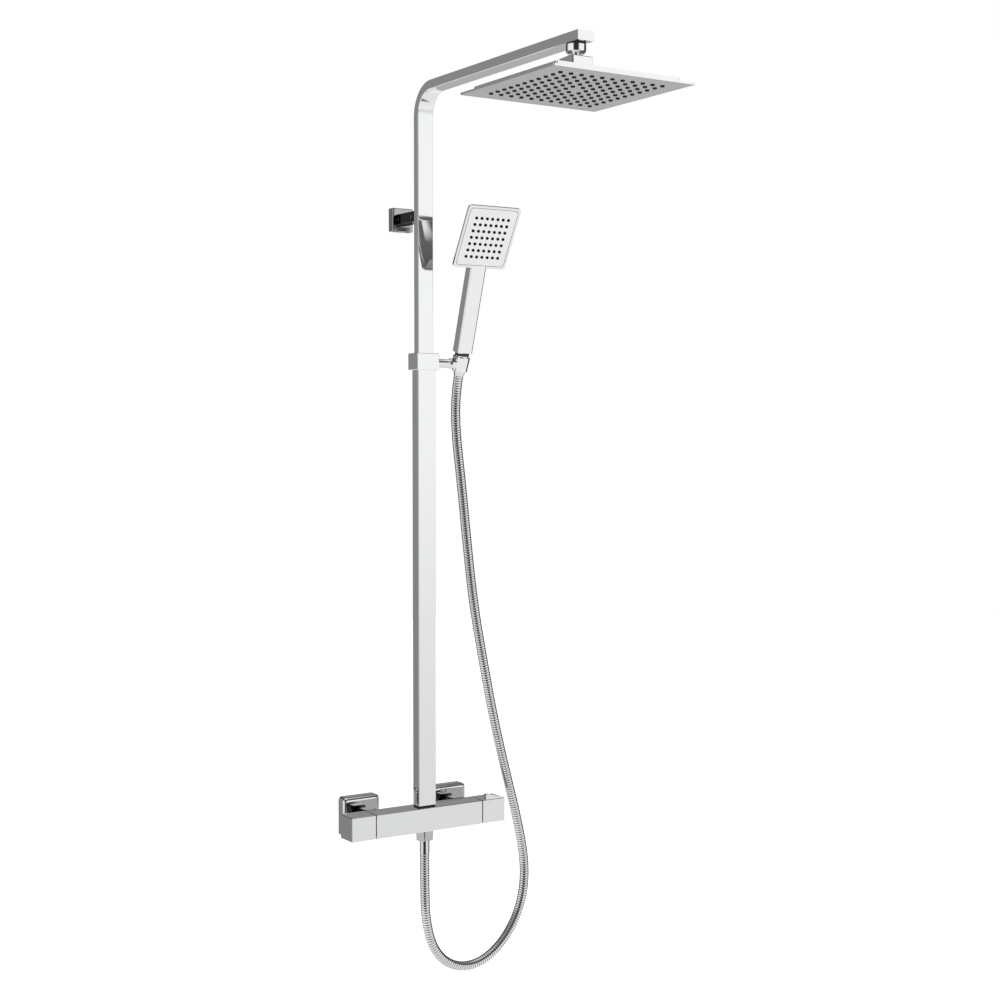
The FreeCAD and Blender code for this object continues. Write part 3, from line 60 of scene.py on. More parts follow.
Colour = tuple[float, float, float]
Point = tuple[float, float, float]
Stops = tuple[tuple[float, float], ...]

MERGE_DISTANCE = 2e-6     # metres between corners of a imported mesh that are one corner
FLAT_ANGLE = 0.4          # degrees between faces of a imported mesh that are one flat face
UPRIGHT_SHARE = 5.0       # an upright edge is taller than this many times its rounding
STEPS_PER_RIB = 8.0       # rings along each rib of the hose
STEP_OFFSET = 0.02        # keeps a ring's number off the border between two ribs
# Rings below this level get the dark groove material: painted shade in the grooves.
GROOVE_LEVEL = 0.6        # height on a rib, of 1, below which the groove's finish starts
RIB_CROWN: Stops = ((0.12, 0.80), (0.25, 1.0), (0.50, 1.0), (0.75, 1.0), (0.88, 0.80))

# Grey level of what the chrome mirrors: low and high on the walls by direction in degrees from the
# camera, and above and below by the height of the direction, from -1 straight down to 1 straight up.
LOW_WALLS: Stops = (
    (-180, 0.45), (-162, 0.45), (-154, 0.03), (-128, 0.03), (-122, 0.24), (-104, 0.24), (-96, 0.80), (-36, 0.80),
    (-24, 0.03), (26, 0.03), (38, 0.78), (98, 0.80), (106, 0.03), (154, 0.03), (162, 0.45), (180, 0.45))
HIGH_WALLS: Stops = (
    (-180, 0.27), (-162, 0.27), (-154, 0.03), (-128, 0.03), (-122, 0.26), (-104, 0.26), (-96, 1.0), (-36, 1.0),
    (-24, 0.03), (26, 0.03), (38, 0.98), (98, 1.05), (106, 0.03), (154, 0.03), (162, 0.27), (180, 0.27))
HEIGHTS: Stops = (
    (-1.0, 0.85), (-0.75, 0.86), (-0.60, 0.92), (-0.38, 0.96), (-0.30, 0.80), (0.30, 0.5), (0.40, 0.08),
    (0.84, 0.14), (0.92, 0.9), (1.0, 1.0))
WALL_RISE = (-0.24, 0.06)   # height of direction where the low walls give way to the high ones
LEVEL_LIMIT = (0.30, 0.38)  # how steep a direction is where the walls give way to the heights


# ------------------------------------------------------------------ finishes
@dataclass(frozen=True)
class Finish:
    """A surface finish: one Principled material whose tone and gloss vary a little over the surface; a few finishes
    are darkened with painted shade.
    """

    name: str
    slot: str
    colour: Colour
    shade: Colour
    metallic: float
    gloss: tuple[float, float]
    grain: float
    stretch: Point = (1.0, 1.0, 1.0)
    relief: float = 0.0
    specular: float = 0.5

    def material(self) -> bpy.types.Material:
        """Make the material, or find it if it is already made.

        Returns:
            The material of this finish.
        """
        made = bpy.data.materials.get(self.name)
        if made is not None:
            return made
        made = bpy.data.materials.new(self.name)
        made.use_nodes = True
        tree = made.node_tree
        shader = tree.nodes["Principled BSDF"]
        shader.inputs["Metallic"].default_value = self.metallic
        shader.inputs["Specular IOR Level"].default_value = self.specular
        coordinates = tree.nodes.new("ShaderNodeTexCoord")
        wear = tree.nodes.new("ShaderNodeGroup")
        wear.node_tree = surface_wear_group()
        wear.inputs["Clean Colour"].default_value = (*self.colour, 1.0)
        wear.inputs["Worn Colour"].default_value = (*self.shade, 1.0)
        wear.inputs["Glossy"].default_value = self.gloss[0]
        wear.inputs["Dull"].default_value = self.gloss[1]
        wear.inputs["Grain"].default_value = self.grain
        wear.inputs["Stretch"].default_value = self.stretch
        wear.inputs["Relief"].default_value = self.relief
        tree.links.new(coordinates.outputs["Object"], wear.inputs["Place"])
        tree.links.new(wear.outputs["Colour"], shader.inputs["Base Color"])
        tree.links.new(wear.outputs["Roughness"], shader.inputs["Roughness"])
        if self.relief > 0.0:
            tree.links.new(wear.outputs["Normal"], shader.inputs["Normal"])
        return made


class Finishes(Enum):
    """The finishes of the shower column; five of them are darkened with painted shade."""

    CHROME = Finish("chrome_plate", "chrome", (0.90, 0.905, 0.91), (0.86, 0.87, 0.88), 1.0,
                    (0.035, 0.06), 18.0)
    CHROME_TUBE = Finish("chrome_tube", "steel_chromed", (0.90, 0.905, 0.91), (0.87, 0.88, 0.89), 1.0,
                         (0.04, 0.07), 14.0, (1.0, 1.0, 0.15))
    CHROME_SMALL = Finish("chrome_fittings", "brass_chromed", (0.88, 0.885, 0.89), (0.80, 0.81, 0.82), 1.0,
                          (0.05, 0.10), 60.0)
    CHROME_PLASTIC = Finish("chrome_handset", "plastic_chromed", (0.89, 0.895, 0.90), (0.86, 0.865, 0.87), 1.0,
                            (0.045, 0.075), 40.0)
    SPRAY_PLATE = Finish("spray_plate", "steel_chromed", (0.93, 0.935, 0.94), (0.86, 0.865, 0.87), 1.0,
                         (0.14, 0.20), 45.0)
    HANDSET_PLATE = Finish("handset_spray_plate", "plastic_chromed", (0.95, 0.955, 0.96), (0.90, 0.905, 0.91), 1.0,
                           (0.14, 0.20), 60.0)
    # The next four are darker than real chrome, to give the piece the shade that it has in the photograph.
    ARM_CHROME_PAINTED_SHADE = Finish("chrome_bracket_arm_painted_shade", "chrome", (0.07, 0.07, 0.072), (0.05, 0.05, 0.052), 1.0,
                         (0.06, 0.10), 40.0)
    CHROME_SHADED = Finish("chrome_bracket_cover_painted_shade", "chrome", (0.48, 0.485, 0.49), (0.43, 0.435, 0.44), 1.0,
                           (0.06, 0.10), 40.0)
    NUT_CHROME_PAINTED_SHADE = Finish("chrome_hose_nut_painted_shade", "brass_chromed", (0.62, 0.625, 0.63), (0.52, 0.525, 0.53), 1.0,
                        (0.06, 0.12), 80.0)
    UNION_CHROME_PAINTED_SHADE = Finish("chrome_unions_painted_shade", "brass_chromed", (0.16, 0.162, 0.165), (0.11, 0.112, 0.115), 1.0,
                          (0.08, 0.14), 60.0)
    HOSE_STEEL = Finish("hose_steel", "hose", (0.86, 0.865, 0.87), (0.74, 0.745, 0.75), 1.0, (0.05, 0.10), 120.0)
    # Dark chrome in the hose's grooves: painted shade.
    HOSE_GROOVE_PAINTED_SHADE = Finish("hose_groove_painted_shade", "hose", (0.26, 0.262, 0.265), (0.18, 0.182, 0.185), 1.0, (0.20, 0.30), 120.0)
    STEEL = Finish("screw_steel", "steel", (0.42, 0.425, 0.43), (0.30, 0.305, 0.31), 1.0, (0.22, 0.38), 160.0)
    BRASS = Finish("turned_brass", "brass", (0.78, 0.60, 0.30), (0.66, 0.48, 0.22), 1.0, (0.22, 0.36), 140.0)
    RUBBER = Finish("seal_rubber", "rubber", (0.018, 0.018, 0.019), (0.032, 0.032, 0.033), 0.0, (0.50, 0.68), 220.0,
                    relief=0.00004)
    SILICONE = Finish("nozzle_silicone", "silicone", (0.004, 0.004, 0.0045), (0.010, 0.010, 0.011), 0.0,
                      (0.55, 0.70), 260.0, specular=0.15)
    PLASTIC = Finish("dark_plastic", "plastic_dark", (0.035, 0.035, 0.038), (0.055, 0.055, 0.058), 0.0,
                     (0.36, 0.50), 120.0)

    @property
    def material(self) -> bpy.types.Material:
        """The Blender material of this finish."""
        return self.value.material()


def surface_wear_group() -> bpy.types.NodeTree:
    """Build the shared shader group that varies colour, gloss and relief over a surface.

    Returns:
        The node group, made once.
    """
    name = "surface_wear"
    if name in bpy.data.node_groups:
        return bpy.data.node_groups[name]
    tree = bpy.data.node_groups.new(name, "ShaderNodeTree")
    taken = (("Place", "Vector"), ("Clean Colour", "Color"), ("Worn Colour", "Color"), ("Glossy", "Float"),
             ("Dull", "Float"), ("Grain", "Float"), ("Stretch", "Vector"), ("Relief", "Float"))
    given = (("Colour", "Color"), ("Roughness", "Float"), ("Normal", "Vector"))
    for side, sockets in (("INPUT", taken), ("OUTPUT", given)):
        for label, kind in sockets:
            tree.interface.new_socket(label, in_out=side, socket_type="NodeSocket" + kind)
    start = tree.nodes.new("NodeGroupInput")
    end = tree.nodes.new("NodeGroupOutput")
    scaled = tree.nodes.new("ShaderNodeVectorMath")
    scaled.operation = "MULTIPLY"
    tree.links.new(start.outputs["Place"], scaled.inputs[0])
    tree.links.new(start.outputs["Stretch"], scaled.inputs[1])
    noise = tree.nodes.new("ShaderNodeTexNoise")
    noise.inputs["Detail"].default_value = 3.0
    tree.links.new(scaled.outputs["Vector"], noise.inputs["Vector"])
    tree.links.new(start.outputs["Grain"], noise.inputs["Scale"])
    colour = tree.nodes.new("ShaderNodeMix")
    colour.data_type = "RGBA"
    tree.links.new(noise.outputs["Fac"], colour.inputs["Factor"])
    tree.links.new(start.outputs["Clean Colour"], colour.inputs["A"])
    tree.links.new(start.outputs["Worn Colour"], colour.inputs["B"])
    gloss = tree.nodes.new("ShaderNodeMix")
    tree.links.new(noise.outputs["Fac"], gloss.inputs["Factor"])
    tree.links.new(start.outputs["Glossy"], gloss.inputs["A"])
    tree.links.new(start.outputs["Dull"], gloss.inputs["B"])
    bump = tree.nodes.new("ShaderNodeBump")
    tree.links.new(noise.outputs["Fac"], bump.inputs["Height"])
    tree.links.new(start.outputs["Relief"], bump.inputs["Distance"])
    tree.links.new(colour.outputs["Result"], end.inputs["Colour"])
    tree.links.new(gloss.outputs["Result"], end.inputs["Roughness"])
    tree.links.new(bump.outputs["Normal"], end.inputs["Normal"])
    return tree


# ------------------------------------------------------------------ geometry nodes
class Forge:
    """A geometry node tree with named inputs, and the steps that add nodes to it."""

    def __init__(self, name: str, inputs: Sequence[tuple[str, str]]) -> None:
        """Start a tree.

        Args:
            name: The tree's name.
            inputs: Name and kind of each input after the geometry.
        """
        self.tree = bpy.data.node_groups.new(name, "GeometryNodeTree")
        self.tree.interface.new_socket("Geometry", in_out="INPUT", socket_type="NodeSocketGeometry")
        for label, kind in inputs:
            self.tree.interface.new_socket(label, in_out="INPUT", socket_type="NodeSocket" + kind)
        self.tree.interface.new_socket("Geometry", in_out="OUTPUT", socket_type="NodeSocketGeometry")
        self.start = self.tree.nodes.new("NodeGroupInput")
        self.end = self.tree.nodes.new("NodeGroupOutput")

    def value(self, name: str) -> bpy.types.NodeSocket:
        """The socket of a named input."""
        return self.start.outputs[name]

    def add(self, kind: str, sockets: dict[str | int, object] | None = None, **settings: object) -> bpy.types.Node:
        """Add a node.

        Args:
            kind: The node's type.
            sockets: Input name or number to a socket to link, or a plain value.
            settings: The node's own properties.

        Returns:
            The node.
        """
        node = self.tree.nodes.new(kind)
        for key, setting in settings.items():
            setattr(node, key, setting)
        for key, given in (sockets or {}).items():
            if isinstance(given, bpy.types.NodeSocket):
                self.tree.links.new(given, node.inputs[key])
            else:
                node.inputs[key].default_value = given
        return node

    def math(self, operation: str, first: object, second: object = 0.0) -> bpy.types.NodeSocket:
        """Add a Math node and return its result."""
        return self.add("ShaderNodeMath", {0: first, 1: second}, operation=operation).outputs[0]

    def finish(self, geometry: bpy.types.NodeSocket) -> None:
        """End the tree in real geometry with the material input on it."""
        real = self.add("GeometryNodeRealizeInstances", {0: geometry})
        painted = self.add("GeometryNodeSetMaterial", {"Geometry": real.outputs[0], "Material": self.value("Finish")})
        self.tree.links.new(painted.outputs[0], self.end.inputs[0])


def bake(tree: bpy.types.NodeTree, source: bpy.types.Object, name: str,
         values: dict[str, object]) -> bpy.types.Object:
    """Run a tree on an object and keep the result as a plain mesh object.

    Args:
        tree: The geometry node tree.
        source: The object that the tree works on.
        name: The name of the new object.
        values: Input name to value.

    Returns:
        The new object, at the origin.
    """
    modifier = source.modifiers.new("shape", "NODES")
    modifier.node_group = tree
    identifiers = {item.name: item.identifier for item in tree.interface.items_tree if item.in_out == "INPUT"}
    for key, given in values.items():
        modifier[identifiers[key]] = given
    source.update_tag()
    graph = bpy.context.evaluated_depsgraph_get()
    mesh = bpy.data.meshes.new_from_object(source.evaluated_get(graph), depsgraph=graph)
    source.modifiers.remove(modifier)
    mesh.name = name
    made = bpy.data.objects.new(name, mesh)
    bpy.context.scene.collection.objects.link(made)
    return made


def empty_mesh_object(name: str) -> bpy.types.Object:
    """An object with an empty mesh, for a tree that makes everything itself."""
    made = bpy.data.objects.new(name, bpy.data.meshes.new(name))
    bpy.context.scene.collection.objects.link(made)
    return made


def discard(made: bpy.types.Object) -> None:
    """Remove a helper object."""
    bpy.data.objects.remove(made, do_unlink=True)


def nozzle_grid_tree() -> bpy.types.NodeTree:
    """A square grid of tapered nozzles, each with a hole in its tip.

    Returns:
        The tree, made once.
    """
    name = "nozzle_grid"
    if name in bpy.data.node_groups:
        return bpy.data.node_groups[name]
    forge = Forge(name, (("Count", "Int"), ("Pitch X", "Float"), ("Pitch Y", "Float"), ("Clear Radius", "Float"),
                         ("Root Radius", "Float"), ("Tip Radius", "Float"), ("Hole Radius", "Float"),
                         ("Height", "Float"), ("Centre", "Vector"), ("Turn", "Rotation"), ("Finish", "Material")))
    gaps = forge.math("SUBTRACT", forge.value("Count"), 1.0)
    grid = forge.add("GeometryNodeMeshGrid", {
        "Vertices X": forge.value("Count"), "Vertices Y": forge.value("Count"),
        "Size X": forge.math("MULTIPLY", gaps, forge.value("Pitch X")),
        "Size Y": forge.math("MULTIPLY", gaps, forge.value("Pitch Y"))})
    place = forge.add("GeometryNodeInputPosition")
    reach = forge.add("ShaderNodeVectorMath", {0: place.outputs[0]}, operation="LENGTH")
    inside = forge.add("FunctionNodeCompare", {0: reach.outputs["Value"], 1: forge.value("Clear Radius")},
                       operation="LESS_THAN")
    kept = forge.add("GeometryNodeDeleteGeometry", {"Geometry": grid.outputs["Mesh"], "Selection": inside.outputs[0]},
                     domain="POINT")
    body = forge.add("GeometryNodeMeshCone", {
        "Vertices": 16, "Radius Top": forge.value("Tip Radius"), "Radius Bottom": forge.value("Root Radius"),
        "Depth": forge.value("Height")})
    hole = forge.add("GeometryNodeMeshCylinder", {
        "Vertices": 10, "Radius": forge.value("Hole Radius"), "Depth": forge.value("Height")})
    rise = forge.add("ShaderNodeCombineXYZ", {"Z": forge.value("Height")})
    lifted = forge.add("GeometryNodeTransform", {"Geometry": hole.outputs["Mesh"], "Translation": rise.outputs[0]})
    bored = forge.add("GeometryNodeMeshBoolean", {0: body.outputs["Mesh"], 1: lifted.outputs[0]},
                      operation="DIFFERENCE", solver="EXACT")
    copies = forge.add("GeometryNodeInstanceOnPoints", {"Points": kept.outputs[0], "Instance": bored.outputs[0]})
    moved = forge.add("GeometryNodeTransform", {
        "Geometry": copies.outputs[0], "Translation": forge.value("Centre"), "Rotation": forge.value("Turn")})
    forge.finish(moved.outputs[0])
    return forge.tree


def ribbed_hose_tree() -> bpy.types.NodeTree:
    """A hose of interlocked bands swept along a stretch of a curve, with painted shade in its grooves.

    Returns:
        The tree, made once.
    """
    name = "ribbed_hose"
    if name in bpy.data.node_groups:
        return bpy.data.node_groups[name]
    forge = Forge(name, (("From", "Float"), ("To", "Float"), ("Radius", "Float"), ("Groove", "Float"),
                         ("Ribs", "Int"), ("Sides", "Int"), ("Finish", "Material"), ("Groove Painted Shade", "Material")))
    stretch = forge.add("GeometryNodeTrimCurve", {0: forge.start.outputs["Geometry"]}, mode="LENGTH")
    forge.tree.links.new(forge.value("From"), [s for s in stretch.inputs if s.name == "Start"][-1])
    forge.tree.links.new(forge.value("To"), [s for s in stretch.inputs if s.name == "End"][-1])
    count = forge.math("ADD", forge.math("MULTIPLY", forge.value("Ribs"), STEPS_PER_RIB), 1.0)
    steps = forge.add("GeometryNodeResampleCurve", {"Curve": stretch.outputs[0], "Count": count}, mode="COUNT")
    index = forge.add("GeometryNodeInputIndex")
    numbered = forge.math("ADD", index.outputs[0], STEP_OFFSET)
    phase = forge.math("FRACT", forge.math("DIVIDE", numbered, STEPS_PER_RIB))
    crown = forge.add("ShaderNodeFloatCurve", {"Value": phase})
    points = crown.mapping.curves[0].points
    points[0].location = (0.0, 0.0)
    points[1].location = (1.0, 0.0)
    for x, y in RIB_CROWN:
        points.new(x, y)
    crown.mapping.update()
    radius = forge.math("ADD", forge.math("SUBTRACT", forge.value("Radius"), forge.value("Groove")),
                        forge.math("MULTIPLY", crown.outputs[0], forge.value("Groove")))
    marked = forge.add("GeometryNodeStoreNamedAttribute", {
        "Geometry": steps.outputs[0], "Name": "crown", "Value": crown.outputs[0]}, data_type="FLOAT", domain="POINT")
    ring = forge.add("GeometryNodeCurvePrimitiveCircle", {"Resolution": forge.value("Sides"), "Radius": 1.0})
    swept = forge.add("GeometryNodeCurveToMesh", {
        "Curve": marked.outputs[0], "Profile Curve": ring.outputs[0], "Fill Caps": True, "Scale": radius})
    smooth = forge.add("GeometryNodeSetShadeSmooth", {"Geometry": swept.outputs[0]})
    steel = forge.add("GeometryNodeSetMaterial", {"Geometry": smooth.outputs[0], "Material": forge.value("Finish")})
    # Rings low on a rib get the groove material, which paints shade into the grooves.
    height = forge.add("GeometryNodeInputNamedAttribute", {"Name": "crown"}, data_type="FLOAT")
    low = forge.math("LESS_THAN", height.outputs[0], GROOVE_LEVEL)
    grooved = forge.add("GeometryNodeSetMaterial", {
        "Geometry": steel.outputs[0], "Selection": low, "Material": forge.value("Groove Painted Shade")})
    forge.tree.links.new(grooved.outputs[0], forge.end.inputs[0])
    return forge.tree


def frame_line_tree() -> bpy.types.NodeTree:
    """A thin round seal laid along a rounded rectangle.

    Returns:
        The tree, made once.
    """
    name = "frame_line"
    if name in bpy.data.node_groups:
        return bpy.data.node_groups[name]
    forge = Forge(name, (("Width", "Float"), ("Height", "Float"), ("Corner", "Float"), ("Radius", "Float"),
                         ("Centre", "Vector"), ("Turn", "Rotation"), ("Finish", "Material")))
    outline = forge.add("GeometryNodeCurvePrimitiveQuadrilateral", {
        "Width": forge.value("Width"), "Height": forge.value("Height")})
    rounded = forge.add("GeometryNodeFilletCurve", {"Curve": outline.outputs[0], "Radius": forge.value("Corner"),
                                                    "Count": 6}, mode="POLY")
    ring = forge.add("GeometryNodeCurvePrimitiveCircle", {"Resolution": 8, "Radius": forge.value("Radius")})
    swept = forge.add("GeometryNodeCurveToMesh", {"Curve": rounded.outputs[0], "Profile Curve": ring.outputs[0]})
    smooth = forge.add("GeometryNodeSetShadeSmooth", {"Geometry": swept.outputs[0]})
    moved = forge.add("GeometryNodeTransform", {
        "Geometry": smooth.outputs[0], "Translation": forge.value("Centre"), "Rotation": forge.value("Turn")})
    forge.finish(moved.outputs[0])
    return forge.tree


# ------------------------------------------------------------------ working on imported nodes
@dataclass(frozen=True)
class Skin:
    """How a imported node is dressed.

    The finish goes on a copy of its mesh. Ease bevels every sharp edge, and upright_round rounds the upright ones.
    """

    node: str
    body: str
    finish: Finishes
    ease: float = 0.0
    smooth_angle: float = 32.0
    upright_round: float = 0.0


def skin(plan: Skin) -> bpy.types.Object:
    """Make a smooth-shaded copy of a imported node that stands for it.

    Args:
        plan: The node, its body and how it is dressed.

    Returns:
        The new piece.
    """
    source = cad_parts[plan.node]
    work = bmesh.new()
    work.from_mesh(source.data)
    bmesh.ops.remove_doubles(work, verts=work.verts, dist=MERGE_DISTANCE)
    bmesh.ops.dissolve_limit(work, angle_limit=math.radians(FLAT_ANGLE), verts=work.verts, edges=work.edges)
    sharp = math.radians(plan.smooth_angle)
    if plan.upright_round > 0.0:
        corners = [edge for edge in work.edges
                   if abs(edge.verts[0].co.z - edge.verts[1].co.z) > UPRIGHT_SHARE * plan.upright_round
                   and edge.calc_face_angle(0.0) > sharp]
        bmesh.ops.bevel(work, geom=corners, offset=plan.upright_round, segments=3, affect="EDGES", profile=0.5)
    for face in work.faces:
        face.smooth = True
    for edge in work.edges:
        edge.smooth = edge.is_manifold and edge.calc_face_angle(0.0) < sharp
    mesh = bpy.data.meshes.new(plan.node + "_skin")
    work.to_mesh(mesh)
    work.free()
    piece = bpy.data.objects.new(plan.node + "_skin", mesh)
    bpy.context.scene.collection.objects.link(piece)
    mesh.materials.append(plan.finish.material)
    if plan.ease > 0.0:
        easing = piece.modifiers.new("ease", "BEVEL")
        easing.width = plan.ease
        easing.segments = 2
        easing.limit_method = "ANGLE"
        easing.angle_limit = sharp
        easing.harden_normals = True
        easing.use_clamp_overlap = True
    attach(piece, plan.body)
    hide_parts(plan.node)
    return piece


def paint(node: str, finish: Finishes) -> None:
    """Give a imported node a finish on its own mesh.

    Args:
        node: The node's name.
        finish: The finish it gets.
    """
    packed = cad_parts[node]
    packed.data.materials.clear()
    packed.data.materials.append(finish.material)


@dataclass
class SubAssembly:
    """A group of nodes that are dressed together."""

    skins: list[Skin] = field(default_factory=list)
    plain: list[tuple[str, Finishes]] = field(default_factory=list)

    def build(self) -> None:
        """Dress every node of the group and report it."""
        for plan in self.skins:
            skin(plan)
        for node, finish in self.plain:
            paint(node, finish)
        LOG.info("%s: %d skins, %d painted", type(self).__name__, len(self.skins), len(self.plain))


@dataclass
class BarValve(SubAssembly):
    """The square bar valve, its handles and its wall connections."""

    def __post_init__(self) -> None:
        """List the valve's nodes with their finishes."""
        chrome = Finishes.CHROME
        fittings = Finishes.CHROME_SMALL
        self.skins = [
            Skin("valve_body", "column", chrome),
            Skin("temperature_handle", "temperature_knob", chrome),
            Skin("flow_handle", "flow_knob", chrome),
            Skin("wall_flange_left", "flange_left", chrome, smooth_angle=40.0),
            Skin("wall_flange_right", "flange_right", chrome, smooth_angle=40.0),
            # The unions and the hose nut get chrome darkened with painted shade.
            Skin("inlet_nuts", "column", Finishes.UNION_CHROME_PAINTED_SHADE),
            Skin("wall_connectors", "column", Finishes.UNION_CHROME_PAINTED_SHADE),
            Skin("hose_outlet", "column", fittings),
            Skin("hose_hex_nut", "column", Finishes.NUT_CHROME_PAINTED_SHADE, upright_round=1.5 * MM),
            Skin("hose_ferrule", "column", fittings),
        ]
        self.plain = [
            ("thermostatic_cartridge", Finishes.PLASTIC), ("flow_cartridge", Finishes.PLASTIC),
            ("gland_nuts", Finishes.BRASS), ("temperature_spindle", Finishes.BRASS),
            ("flow_spindle", Finishes.BRASS), ("inlet_seals", Finishes.RUBBER),
            ("check_valves", Finishes.PLASTIC), ("hose_lower_washer", Finishes.RUBBER),
        ]


@dataclass
class Riser(SubAssembly):
    """The telescopic riser with its clamp collar and its arm."""

    def __post_init__(self) -> None:
        """List the riser's nodes with their finishes."""
        tube = Finishes.CHROME_TUBE
        self.skins = [
            Skin("riser_foot", "column", tube),
            Skin("lower_tube", "column", tube),
            Skin("clamp_collar", "column", Finishes.CHROME),
            Skin("upper_tube", "riser", tube, smooth_angle=28.0),
            Skin("arm_end_cap", "riser", tube),
        ]
        self.plain = [
            ("foot_gasket", Finishes.RUBBER), ("riser_nipple", Finishes.BRASS), ("collar_liner", Finishes.PLASTIC),
            ("collar_screw", Finishes.STEEL), ("arm_outlet", Finishes.BRASS), ("telescope_plug", Finishes.PLASTIC),
            ("telescope_seals", Finishes.RUBBER),
        ]


@dataclass
class WallBracket(SubAssembly):
    """The upper bracket that holds the riser to the wall."""

    def __post_init__(self) -> None:
        """List the bracket's nodes with their finishes."""
        self.skins = [
            # The arm and the cover get chrome darkened with painted shade.
            Skin("bracket_arm", "riser", Finishes.ARM_CHROME_PAINTED_SHADE),
            Skin("bracket_flange", "bracket_cover", Finishes.CHROME_SHADED, smooth_angle=40.0),
            Skin("riser_spigot", "riser", Finishes.CHROME_SMALL),
            Skin("bracket_grub_screws", "riser", Finishes.STEEL),
        ]
        self.plain = [("bracket_wall_plate", Finishes.STEEL)]


@dataclass
class OverheadHead(SubAssembly):
    """The square overhead head on its ball joint."""

    rows: int = 11
    pitch: float = 15.5 * MM
    root_radius: float = 3.1 * MM
    tip_radius: float = 2.8 * MM
    hole_radius: float = 0.8 * MM

    def __post_init__(self) -> None:
        """List the head's nodes with their finishes."""
        self.skins = [
            Skin("ball_stud", "stud", Finishes.CHROME_SMALL),
            Skin("head_block", "head", Finishes.CHROME),
            Skin("head_shell", "head", Finishes.CHROME),
            Skin("head_face_plate", "head", Finishes.SPRAY_PLATE),
        ]
        self.plain = [
            ("stud_washer", Finishes.RUBBER), ("ball_liner", Finishes.PLASTIC), ("ball_seat", Finishes.BRASS),
            ("head_gasket", Finishes.RUBBER),
        ]

    def build(self) -> None:
        """Dress the head and set its nozzles."""
        super().build()
        low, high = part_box("head_nozzles")
        seed = empty_mesh_object("nozzle_seed")
        made = bake(nozzle_grid_tree(), seed, "rain_nozzles", {
            "Count": self.rows, "Pitch X": self.pitch, "Pitch Y": self.pitch, "Clear Radius": self.pitch / 2,
            "Root Radius": self.root_radius, "Tip Radius": self.tip_radius, "Hole Radius": self.hole_radius,
            "Height": high.z - low.z, "Centre": ((low.x + high.x) / 2, (low.y + high.y) / 2, high.z),
            "Turn": (math.pi, 0.0, 0.0), "Finish": Finishes.SILICONE.material})
        discard(seed)
        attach(made, "head")
        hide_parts("head_nozzles")
        LOG.info("rain nozzles: %d faces", len(made.data.polygons))


@dataclass
class Handset(SubAssembly):
    """The square handset and the holder that it stands in."""

    rows: int = 7
    pitch_x: float = 9.0 * MM
    pitch_y: float = 9.9 * MM
    lean: float = 17.5
    bend: float = 11.9
    root_radius: float = 2.4 * MM
    tip_radius: float = 2.2 * MM
    hole_radius: float = 0.6 * MM
    nozzle_height: float = 2.8 * MM
    plate_width: float = 80.4 * MM
    plate_height: float = 87.4 * MM
    plate_corner: float = 5.0 * MM
    plate_depth: float = 1.4 * MM
    line_radius: float = 0.3 * MM

    def __post_init__(self) -> None:
        """List the nodes of the handset and its holder with their finishes."""
        plastic = Finishes.CHROME_PLASTIC
        self.skins = [
            Skin("holder_rod", "column", Finishes.CHROME_SMALL),
            Skin("friction_washer", "column", Finishes.CHROME_SMALL),
            Skin("holder_cup", "holder", Finishes.CHROME, smooth_angle=40.0),
            Skin("hose_cone_nut", "handset", Finishes.CHROME_SMALL),
            Skin("handset_seal_ring", "handset", Finishes.RUBBER),
            Skin("handset_handle", "handset", plastic, smooth_angle=40.0),
            Skin("handset_shell", "handset", plastic),
            Skin("handset_face_plate", "handset", Finishes.HANDSET_PLATE, ease=0.4 * MM),
        ]
        self.plain = [
            ("pivot_screw", Finishes.STEEL), ("hose_upper_sleeve", Finishes.BRASS),
            ("handset_inlet", Finishes.BRASS), ("handset_water_tube", Finishes.PLASTIC),
        ]

    def build(self) -> None:
        """Dress the handset and set its nozzles."""
        super().build()
        low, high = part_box("handset_nozzles")
        face = math.radians(self.lean + self.bend)
        outward = Vector((0.0, -math.cos(face), -math.sin(face)))
        centre = (low + high) / 2
        turn = (math.pi / 2 + face, 0.0, 0.0)
        seed = empty_mesh_object("spray_seed")
        made = bake(nozzle_grid_tree(), seed, "handset_spray_nozzles", {
            "Count": self.rows, "Pitch X": self.pitch_x, "Pitch Y": self.pitch_y, "Clear Radius": 0.0,
            "Root Radius": self.root_radius, "Tip Radius": self.tip_radius, "Hole Radius": self.hole_radius,
            "Height": self.nozzle_height, "Centre": tuple(centre - outward * self.nozzle_height / 2),
            "Turn": turn, "Finish": Finishes.SILICONE.material})
        discard(seed)
        LOG.info("spray nozzles: %d faces", len(made.data.polygons))
        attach(made, "handset")
        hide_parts("handset_nozzles")
        low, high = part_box("handset_face_plate")
        seed = empty_mesh_object("line_seed")
        line = bake(frame_line_tree(), seed, "handset_frame_seal", {
            "Width": self.plate_width, "Height": self.plate_height, "Corner": self.plate_corner,
            "Radius": self.line_radius, "Centre": tuple((low + high) / 2 + outward * self.plate_depth / 2),
            "Turn": turn, "Finish": Finishes.RUBBER.material})
        discard(seed)
        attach(line, "handset")


